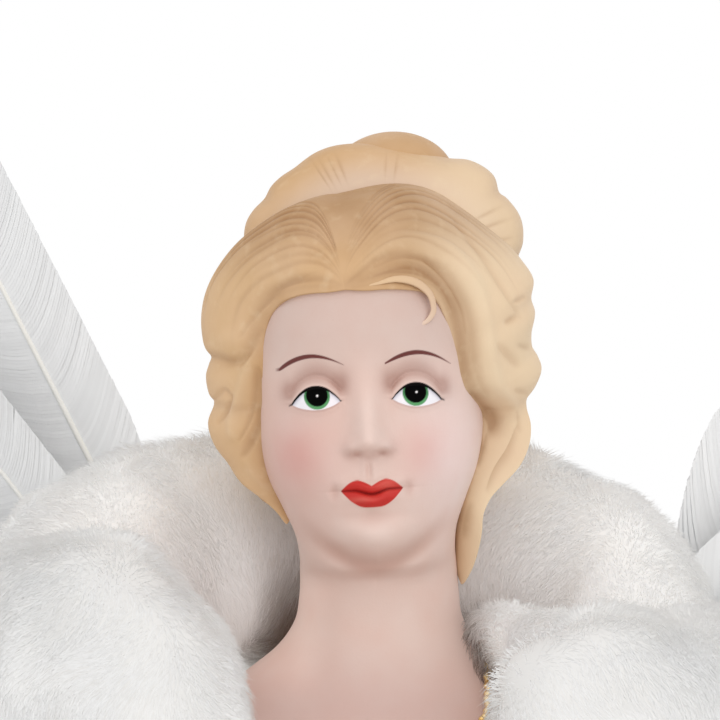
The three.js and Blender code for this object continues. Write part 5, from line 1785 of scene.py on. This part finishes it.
@dataclass(frozen=True)
class WovenCloth:
    """Woven cloth: fine threads both ways, soft clouds of colour and a sheen."""

    name: str
    base: Colour
    shade: Colour
    threads: float
    roughness: float
    sheen: float
    relief: float = 0.00004

    def material(self) -> Material:
        """Makes the finish."""
        shader = Shader(self.name)
        cloud = shader.noise(55.0, 4.0)
        warp, weft = shader.wave(self.threads, "Z", 0.6), shader.wave(self.threads, "X", 0.6)
        weave = shader.math("MULTIPLY", warp, weft)
        colour = shader.blend(shader.ranged(cloud, 0.35, 0.7, 0.0, 0.6), self.base, self.shade)
        colour = shader.blend(shader.ranged(weave, 0.0, 0.3, 0.22, 0.0), colour, self.shade)
        gloss = shader.ranged(cloud, 0.3, 0.7, self.roughness - 0.06, self.roughness + 0.06)
        creases = shader.bump(shader.noise(160.0, 3.0), 0.0004)
        normal = shader.bump(weave, self.relief, creases)
        shader.set(Base_Color=colour, Roughness=gloss, Normal=normal, Specular_IOR_Level=0.35)
        shader.set(Sheen_Weight=self.sheen, Sheen_Roughness=0.35)
        return shader.material


@dataclass(frozen=True)
class GildedMetal:
    """Gilded trim with a worn shine."""

    name: str = "gilded_trim"
    base: Colour = (0.66, 0.42, 0.12)
    worn: Colour = (0.86, 0.66, 0.32)

    def material(self) -> Material:
        """Makes the finish."""
        shader = Shader(self.name)
        specks = shader.noise(1400.0, 3.0)
        colour = shader.blend(shader.ranged(specks, 0.4, 0.65, 0.0, 1.0), self.base, self.worn)
        gloss = shader.ranged(specks, 0.3, 0.7, 0.22, 0.42)
        normal = shader.bump(specks, 0.00006)
        shader.set(Base_Color=colour, Metallic=0.9, Roughness=gloss, Normal=normal)
        return shader.material


@dataclass(frozen=True)
class PlainStock:
    """Plain stock such as card, dowel or wire, with the grain along one axis."""

    name: str
    base: Colour
    grain_colour: Colour
    stretch: Triple
    metallic: float = 0.0
    roughness: float = 0.6
    relief: float = 0.00004

    def material(self) -> Material:
        """Makes the finish."""
        shader = Shader(self.name)
        fibre = shader.noise(900.0, 4.0, self.stretch)
        cloud = shader.noise(60.0, 3.0)
        colour = shader.blend(shader.ranged(fibre, 0.35, 0.7, 0.0, 0.75), self.base, self.grain_colour)
        colour = shader.blend(shader.ranged(cloud, 0.4, 0.7, 0.0, 0.25), colour, self.grain_colour)
        gloss = shader.ranged(fibre, 0.3, 0.7, self.roughness - 0.08, self.roughness + 0.08)
        normal = shader.bump(fibre, self.relief)
        shader.set(Base_Color=colour, Metallic=self.metallic, Roughness=gloss, Normal=normal)
        return shader.material


@dataclass
class Gown:
    """Satin gown over a net petticoat: gathered skirt, fitted bodice, pleated sash and gilt neckline."""

    bust: Bust
    cone_height: float = 178.0
    cone_base: float = 58.0
    cone_top: float = 13.0
    torso_base: float = 178.3
    torso_height: float = 84.0
    spigot: float = 11.5
    hip_radius: float = 19.0
    waist_rise: float = 25.0
    waist_half_width: float = 17.0
    waist_half_depth: float = 15.0
    rib_rise: float = 54.0
    rib_half_width: float = 26.0
    rib_half_depth: float = 16.5
    skirt_hem: float = 82.0
    skirt_top: float = 203.3
    skirt_foot: float = 1.5
    skirt_ease: float = 3.088
    skirt_folds: int = 12
    fold_depth: float = 5.5
    petticoat_hem: float = 70.0
    petticoat_top: float = 160.2
    petticoat_foot: float = 8.0
    sash_width: float = 11.0
    bodice_ease: float = 5.0
    bead_count: int = 150
    bead_radius: float = 0.62

    def torso_ring(self, rise: Array, grow: Array, angle: Array) -> Array:
        """Points round the body at a height.

        Args:
            rise: Height above the torso's foot.
            grow: Distance out from the body.
            angle: Angle from the front.

        Returns:
            The points.
        """
        below, above = smooth(0.0, self.waist_rise, rise), smooth(self.waist_rise, self.rib_rise, rise)
        halves = ((self.waist_half_width, self.rib_half_width), (self.waist_half_depth, self.rib_half_depth))
        wide, deep = (self.hip_radius - (self.hip_radius - waist) * below + (rib - waist) * above + grow
                      for waist, rib in halves)
        return stacked(wide * np.sin(angle), -deep * np.cos(angle), self.torso_base + rise)

    def neckline(self, angle: Array) -> Array:
        """Row of the bust that the neckline runs along."""
        ahead, left = np.cos(angle), smooth(0.0, 0.4, np.sin(angle))
        right_row, left_row = 16.4 + 1.4 * smooth(0.35, 1.0, ahead), 14.65 + 3.1 * np.maximum(ahead, 0.0) ** 3
        return (1 - left) * right_row + left * left_row

    @staticmethod
    def cut(points: Array) -> tuple[float, float]:
        """Flat size of a cloth grid: longest row and longest column, in metres.

        Args:
            points: The grid.

        Returns:
            Width and length.
        """
        rows = np.linalg.norm(np.diff(points, axis=1, append=points[:, :1]), axis=-1).sum(1)
        columns = np.linalg.norm(np.diff(points, axis=0), axis=-1).sum(0)
        return float(rows.max()) * MM, float(columns.max()) * MM

    def hung(self, name: str, points: Array, material: Material, slot: str,
             node: str) -> None:
        """Sets a cloth grid into the scene.

        Args:
            name: Name of the piece.
            points: Its grid, closed round.
            material: Its finish.
            slot: The record's material slot.
            node: Solid that it stands for.
        """
        cloth = Surface.grid(points, round_columns=True)
        piece = fit(cloth.to_object(name, material), Body.FIGURE, slot, node)
        cloth.area() * MM * MM

    def skirt(self) -> Array:
        """Grid of the skirt: gathers at the waist that open into folds, with a turned hem."""
        share = np.concatenate([np.linspace(0.0, 1.0, 170), [1.0, 0.995, 0.985]])[:, None]
        turned = np.concatenate([np.zeros(170), [0.5, 0.9, 1.0]])[:, None]
        angle = around(720)
        fall = share**0.92
        wander = angle + 0.035 * np.sin(3 * angle + 2.0 * share) + 0.02 * np.sin(7 * angle + 1.3)
        folds = self.fold_depth * share**0.8 * np.cos(self.skirt_folds * angle)
        folds = folds + 0.7 * share * (1 - 0.4 * share) * np.cos(29 * wander + 1.1)
        folds = folds + 0.35 * share * np.cos(53 * wander)
        gathers = 0.5 * (1 - share) ** 6 * np.cos(84 * wander)
        radii = []
        for waist in (self.waist_half_width + self.skirt_ease, self.waist_half_depth + self.skirt_ease):
            radii.append(waist + (self.skirt_hem - waist) * fall + folds + gathers + 1.0 - turned)
        z = self.skirt_top + (self.skirt_foot - self.skirt_top) * share
        return stacked(radii[0] * np.sin(angle), -radii[1] * np.cos(angle), z)

    def petticoat(self) -> Array:
        """Grid of the petticoat, ruffled towards the hem."""
        share = np.linspace(0.0, 1.0, 110)[:, None]
        angle = around(480)
        z = self.petticoat_top + (self.petticoat_foot - self.petticoat_top) * share
        cone = self.cone_base + (self.cone_top - self.cone_base) * z / self.cone_height
        flare = self.petticoat_hem - cone[-1] - 0.3
        ruffle = 0.3 * share**2 * np.cos(46 * angle + 2 * np.sin(5 * angle))
        radius = cone + 0.9 + flare * share**1.4 + ruffle
        return stacked(radius * np.sin(angle), -radius * np.cos(angle), z)

    def bodice(self) -> Array:
        """Grid of the bodice, with princess seams and soft wrinkles."""
        angle = around(360)
        rise = np.linspace(self.waist_rise + 0.5, self.rib_rise, 46)[:, None]
        low = self.torso_ring(rise, 1.3 + self.bodice_ease * rise / self.torso_height, angle)
        share = np.linspace(0.0, 1.0, 34)[:, None]
        row = 19.0 + (self.neckline(angle) - 19.0) * share
        high = self.bust.posed(self.bust.shell(row, angle, -1.6))
        bridge = low[-1] + (high[0] - low[-1]) * np.linspace(0, 1, 14)[1:-1, None, None]
        points = np.concatenate([low, bridge, high])
        out = stacked(np.sin(angle), -np.cos(angle), 0 * angle)
        level = np.linspace(0, 1, len(points))[:, None]
        seam = np.zeros_like(angle)
        for place in (-140, -90, -36, 36, 90, 140):
            seam = np.maximum(seam, bell(np.degrees(angle) - place % 360, 1.2))
        ripple = np.cos(2 * np.pi * (9 * level + 0.6 * np.sin(2 * angle)))
        wrinkle = 0.35 * ripple * bell(np.sin(angle), 0.8) * (1 - level)
        shift = -0.25 * seam + 0.3 * wrinkle * (1 - smooth(0.75, 0.95, level)) + 0.15 * grain(points, 6.0, 3)
        return points + out * shift[..., None]

    def sash(self) -> Array:
        """Grid of the sash, laid in soft pleats."""
        share = np.linspace(0.0, 1.0, 60)[:, None]
        angle = around(360)
        rise = self.waist_rise + 0.5 + self.sash_width * share
        round_edge = np.sqrt(np.maximum(0.0, 1 - (2 * share - 1) ** 6))
        wander = 0.22 * np.sin(angle + 0.4) + 0.1 * np.sin(3 * angle)
        pleat = 0.34 * np.cos(2 * np.pi * (4.5 * share + wander))
        grow = self.bodice_ease * rise / self.torso_height + 1.6
        grow = grow + 2.0 * round_edge + 0.5 * np.sin(np.pi * share)
        return self.torso_ring(rise, grow + pleat * round_edge, angle)

    def torso(self) -> Surface:
        """Builds the stuffed body under the gown."""
        angle = around(120)
        height = np.array([[162.3], [164.0], [172.0], [self.torso_base]])
        low = stacked(self.spigot * np.sin(angle), -self.spigot * np.cos(angle), height)
        body = self.torso_ring(np.linspace(0, self.rib_rise, 40)[:, None], 0.0, angle)
        high = self.bust.posed(self.bust.shell(np.linspace(18.4, 14.0, 20)[:, None], angle, 2.7))
        points = np.concatenate([low, body, high])
        out = stacked(np.sin(angle), -np.cos(angle), 0 * angle)
        points = points - out * (0.2 + 0.2 * grain(points, 5.0, 8))[..., None]
        return Surface.tube(points)

    def trim(self) -> Surface:
        """Builds the gilt beads of the neckline, close on their thread."""
        angle = np.linspace(0, 2 * np.pi, 400, endpoint=False)
        line = self.bust.posed(self.bust.shell(self.neckline(angle) - 0.42, angle, -1.25))
        ahead = unit(np.roll(line, -1, 0) - np.roll(line, 1, 0))
        up = np.array([0.0, 0.0, 1.0])
        side = unit(np.cross(ahead, up))
        over = np.cross(side, ahead)
        turn_round = around(8)[..., None]
        out = side[:, None] * np.cos(turn_round) + over[:, None] * np.sin(turn_round)
        thread = line[:, None] + 0.4 * out
        parts = [Surface.grid(thread, round_rows=True, round_columns=True).facing_out()]
        chance = np.random.default_rng(77)
        looped, count = np.vstack([line, line[:1]]), self.bead_count
        steps = np.concatenate([[0.0], np.cumsum(np.linalg.norm(np.diff(looped, axis=0), axis=1))])
        at = (np.arange(count) + chance.uniform(-0.2, 0.2, count)) * steps[-1] / count
        middles = np.stack([np.interp(at, steps, looped[:, axis]) for axis in range(3)], -1)
        rise, bearing = np.linspace(-0.49, 0.49, 9)[:, None] * np.pi, around(12)
        ball = stacked(np.cos(rise) * np.cos(bearing), np.cos(rise) * np.sin(bearing), np.sin(rise))
        for middle in middles:
            jitter = chance.uniform(-0.25, 0.25, 3)
            parts.append(Surface.tube(middle + jitter + ball * self.bead_radius * chance.uniform(0.85, 1.2)))
        return Surface.joined(parts)

    def build(self) -> None:
        """Builds and dresses the gown."""
        satin = WovenCloth("ivory_satin", (0.85, 0.79, 0.68), (0.76, 0.68, 0.55), 800.0, 0.38, 0.3).material()
        stiff = WovenCloth("stiff_net", (0.88, 0.86, 0.80), (0.62, 0.58, 0.5), 260.0, 0.7, 0.2, 0.0002)
        net = stiff.material()
        muslin = WovenCloth("muslin", (0.80, 0.75, 0.65), (0.68, 0.61, 0.5), 420.0, 0.85, 0.1).material()
        gilt = GildedMetal().material()
        torso = fit(self.torso().to_object("stuffed_torso", muslin), Body.FIGURE, "muslin", "torso")
        self.hung("petticoat_net", self.petticoat(), net, "net", "petticoat")
        self.hung("skirt_satin", self.skirt(), satin, "satin", "gown_skirt")
        self.hung("bodice_satin", self.bodice(), satin, "satin", "gown_bodice")
        self.hung("sash_pleats", self.sash(), gilt, "gold", "waist_sash")
        fit(self.trim().to_object("neckline_trim", gilt), Body.FIGURE, "gold", "neckline_beads")


@dataclass
class Arm:
    """Bent arm in a satin sleeve with a fur cuff, for one side of the angel."""

    side: Side
    shoulder: Triple = (44.5, 0.0, 253.3)
    line: tuple[Triple, ...] = ((0, 0, 0), (4.5, 1, -18.9), (7, -2, -42), (0.7, -23, -49), (-7, -46, -46))
    cap_radius: float = 9.5
    end_radius: float = 11.0
    sleeve_end: float = 0.94
    cuff_width: float = 15.0
    cuff_thickness: float = 5.0
    strands: int = 26000
    end_strands: int = 6800
    standing: float = 3.2
    skin_voxel: float = 0.35

    @property
    def body(self) -> Body:
        """The body that the arm moves with."""
        return Body.LEFT_ARM if self.side is Side.LEFT else Body.RIGHT_ARM

    def middle(self, share: Array) -> Array:
        """Line of the arm from the shoulder to the wrist.

        Args:
            share: Shares of the line.

        Returns:
            Points from the shoulder, for the left side.
        """
        knots = np.array(self.line, float)
        knots = np.vstack([2 * knots[0] - knots[1], knots, 2 * knots[-1] - knots[-2]])
        at = np.clip(np.asarray(share, float), 0, 1) * (len(self.line) - 1)
        k = np.minimum(at.astype(int), len(self.line) - 2)
        t = (at - k)[..., None]
        p0, p1, p2, p3 = (knots[k + n] for n in range(4))
        spans = ((p0, p1), (p1, p2), (p2, p3))
        d0, d1, d2 = (np.linalg.norm(b - a, axis=-1, keepdims=True) ** 0.5 for a, b in spans)
        leave = ((p1 - p0) / d0 - (p2 - p0) / (d0 + d1) + (p2 - p1) / d1) * d1
        arrive = ((p2 - p1) / d1 - (p3 - p1) / (d1 + d2) + (p3 - p2) / d2) * d1
        cubic = (2 * p1 - 2 * p2 + leave + arrive) * t**3 + (3 * p2 - 3 * p1 - 2 * leave - arrive) * t**2
        return cubic + leave * t + p1

    def ring(self, share: Array, radius: Array, angle: Array,
             back: Array | float = 0.0) -> tuple[Array, Array]:
        """Points round the arm.

        Args:
            share: Shares of its line.
            radius: Distance from the line.
            angle: Angles round it.
            back: Distance back along the line.

        Returns:
            Points in the part's frame and directions away from the line.
        """
        share = np.asarray(share, float)
        ahead = unit(self.middle(np.minimum(share + 0.004, 1)) - self.middle(np.maximum(share - 0.004, 0)))
        across = unit(np.array([1.0, 0.0, 0.0]) - ahead * ahead[..., :1])
        over = np.cross(ahead, across)
        out = across * np.cos(angle)[..., None] + over * np.sin(angle)[..., None]
        points = self.middle(share) - ahead * np.asarray(back)[..., None]
        points = points + out * np.asarray(radius)[..., None]
        mirror = np.array([self.side.value, 1.0, 1.0])
        return (points + np.array(self.shoulder)) * mirror, out * mirror

    def sleeve(self) -> Array:
        """Grid of the sleeve, creased inside the elbow."""
        angle = around(140)
        rounding = np.linspace(0.99, 0.05, 22)[:, None]
        dome, back = self.cap_radius * np.sqrt(1 - rounding**2), self.cap_radius * rounding
        cap, _ = self.ring(0 * rounding + 0 * angle, dome + 0 * angle, angle + 0 * rounding, back + 0 * angle)
        share = np.linspace(0.0, self.sleeve_end, 150)[:, None]
        belled = smooth(0.55, self.sleeve_end, share)
        radius = self.cap_radius + (self.end_radius - self.cap_radius) * belled - 1.2 * bell(share - 0.5, 0.2)
        inside = 0.5 - 0.5 * np.sin(angle)
        elbow = bell(share - 0.55, 0.2)
        creases = np.cos(2 * np.pi * 17 * share + 1.4 * np.cos(angle)) * elbow * inside
        soft = np.cos(2 * np.pi * 7 * share + 2 * np.sin(angle + 1)) * (1 - elbow) * smooth(0, 0.15, share)
        radius = radius - 0.35 + 0.35 * creases + 0.2 * soft
        tube, _ = self.ring(share + 0 * angle, radius, angle + 0 * share)
        return np.concatenate([cap, tube])

    def cuff(self, share: Array, angle: Array, grow: float) -> tuple[Array, Array]:
        """Lumpy surface of the fur cuff.

        Args:
            share: Shares of its width.
            angle: Angles round the arm.
            grow: Distance out from the named thickness.

        Returns:
            Points and directions out of the surface.
        """
        fine = self.middle(np.linspace(0, 1, 200))
        length = np.linalg.norm(np.diff(fine, axis=0), axis=1).sum()
        along = self.sleeve_end + (share - 1) * self.cuff_width / length
        swell = np.sqrt(np.maximum(0.0, 1 - np.abs(2 * share - 1) ** 2.6))
        radius = self.end_radius + 0.3 + np.maximum(0.3, (self.cuff_thickness + grow) * swell)
        points, out = self.ring(along, radius, angle)
        return points + out * (0.5 * grain(points, 5.0, 61))[..., None], out

    def build_cuff(self, finish: PlushPile) -> None:
        """Builds the cuff's backing and its pile, which also grows over the open end.

        Args:
            finish: Finish of the pile.
        """
        word, material = self.side.word, finish.material()
        share, angle = np.broadcast_arrays(np.linspace(0, 1, 30)[:, None], around(90))
        back = Surface.tube(self.cuff(share, angle, -self.standing)[0], finish.root)
        back = fit(back.to_object(f"{word}_cuff_backing", material), self.body, "fur", f"{word}_fur_cuff")
        chance = np.random.default_rng(90 + self.side.value)
        share, angle = chance.uniform(0.03, 0.97, self.strands), chance.uniform(0, 2 * np.pi, self.strands)
        roots, out = self.cuff(share, angle, -self.standing)
        count = self.end_strands
        radius = self.end_radius * np.sqrt(chance.uniform(0.1, 1.0, count))
        bearing = chance.uniform(0, 2 * np.pi, count)
        rim, from_line = self.ring(np.full(count, self.sleeve_end), radius, bearing)
        ahead = unit(self.middle(1.0) - self.middle(self.sleeve_end)) * np.array([self.side.value, 1.0, 1.0])
        roots, out = np.vstack([roots, rim]), np.vstack([out, unit(ahead + 0.4 * from_line)])
        swirl = np.stack([grain(roots, 6.0, 70 + k) for k in range(3)], -1) + np.array([0.0, -0.5, -0.3])
        comb = unit(swirl - out * (swirl * out).sum(-1, keepdims=True))
        fold, tone = np.zeros(len(roots)), np.ones(len(roots))
        blocks = Pile(length=4.0).strands(roots, out, comb, fold, tone, finish, 95)
        Pile.set_in(f"{word}_cuff_pile", blocks, material, self.body)

    def build(self, satin: Material, fur: PlushPile, skin: Material, hand: Piece) -> None:
        """Builds the sleeve and the cuff, and finishes the hand.

        Args:
            satin: Finish of the sleeve.
            fur: Finish of the cuff.
            skin: Finish of the hand.
            hand: The frame's hand.
        """
        name = f"{self.side.word}_sleeve"
        sleeve = Surface.tube(self.sleeve()).to_object(f"{name}_satin", satin)
        fit(sleeve, self.body, "satin", name)
        self.build_cuff(fur)
        remesh = hand.modifiers.new("even_skin", "REMESH")
        remesh.mode = "VOXEL"
        remesh.voxel_size = self.skin_voxel * MM
        remesh.use_smooth_shade = True
        smoothing = hand.modifiers.new("soft_skin", "SMOOTH")
        smoothing.iterations = 14
        hand.data.materials.clear()
        hand.data.materials.append(skin)


def dress_frame(nodes: dict[str, Piece]) -> None:
    """Gives the frame's own rigid parts their finishes.

    Args:
        nodes: The frame's nodes by name.
    """
    card = PlainStock("stiff_card", (0.70, 0.60, 0.43), (0.55, 0.45, 0.31), (1.0, 1.0, 0.15)).material()
    white_card = PlainStock("white_card", (0.84, 0.83, 0.80), (0.72, 0.70, 0.66), (1.0, 1.0, 0.3)).material()
    wood = PlainStock("dowel_wood", (0.66, 0.46, 0.27), (0.45, 0.28, 0.14), (1.0, 1.0, 0.06)).material()
    steel = PlainStock("steel_wire", (0.55, 0.55, 0.54), (0.36, 0.36, 0.36), (1.0, 1.0, 0.1), 1.0, 0.36)
    wire = steel.material()
    finishes = {"tree_cone": card, "wing_bracket": card, "neck_dowel": wood}
    for side in Side:
        finishes |= {f"{side.word}_wing_card": white_card}
        finishes |= {f"{side.word}_{part}": wire for part in ("wing_stem", "arm_wire")}
    for name, material in finishes.items():
        nodes[name].data.materials.clear()
        nodes[name].data.materials.append(material)
        LOG.info("%s: %s", name, material.name)


def main() -> None:
    """Builds the topper's look in order."""
    logging.basicConfig(level=logging.INFO, format="%(name)s %(message)s")
    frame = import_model()
    Studio().build()
    bust = Bust()
    bust.build(PaintedBisque())
    MouldedHair(bust).build(MouldedHairPaint())
    FurCollar(bust).build(PlushPile())
    Gown(bust).build()
    satin = WovenCloth("sleeve_satin", (0.85, 0.79, 0.68), (0.76, 0.68, 0.55), 800.0, 0.38, 0.3).material()
    skin = PlainStock("plain_bisque", bust.skin, (0.69, 0.48, 0.41), (1.0, 1.0, 1.0), 0.0, 0.5).material()
    for side in Side:
        Wing(side).build(FeatherVane())
        Arm(side).build(satin, PlushPile(), skin, frame["nodes"][f"{side.word}_hand"])
    dress_frame(frame["nodes"])


if __name__ == "__main__":
    main()
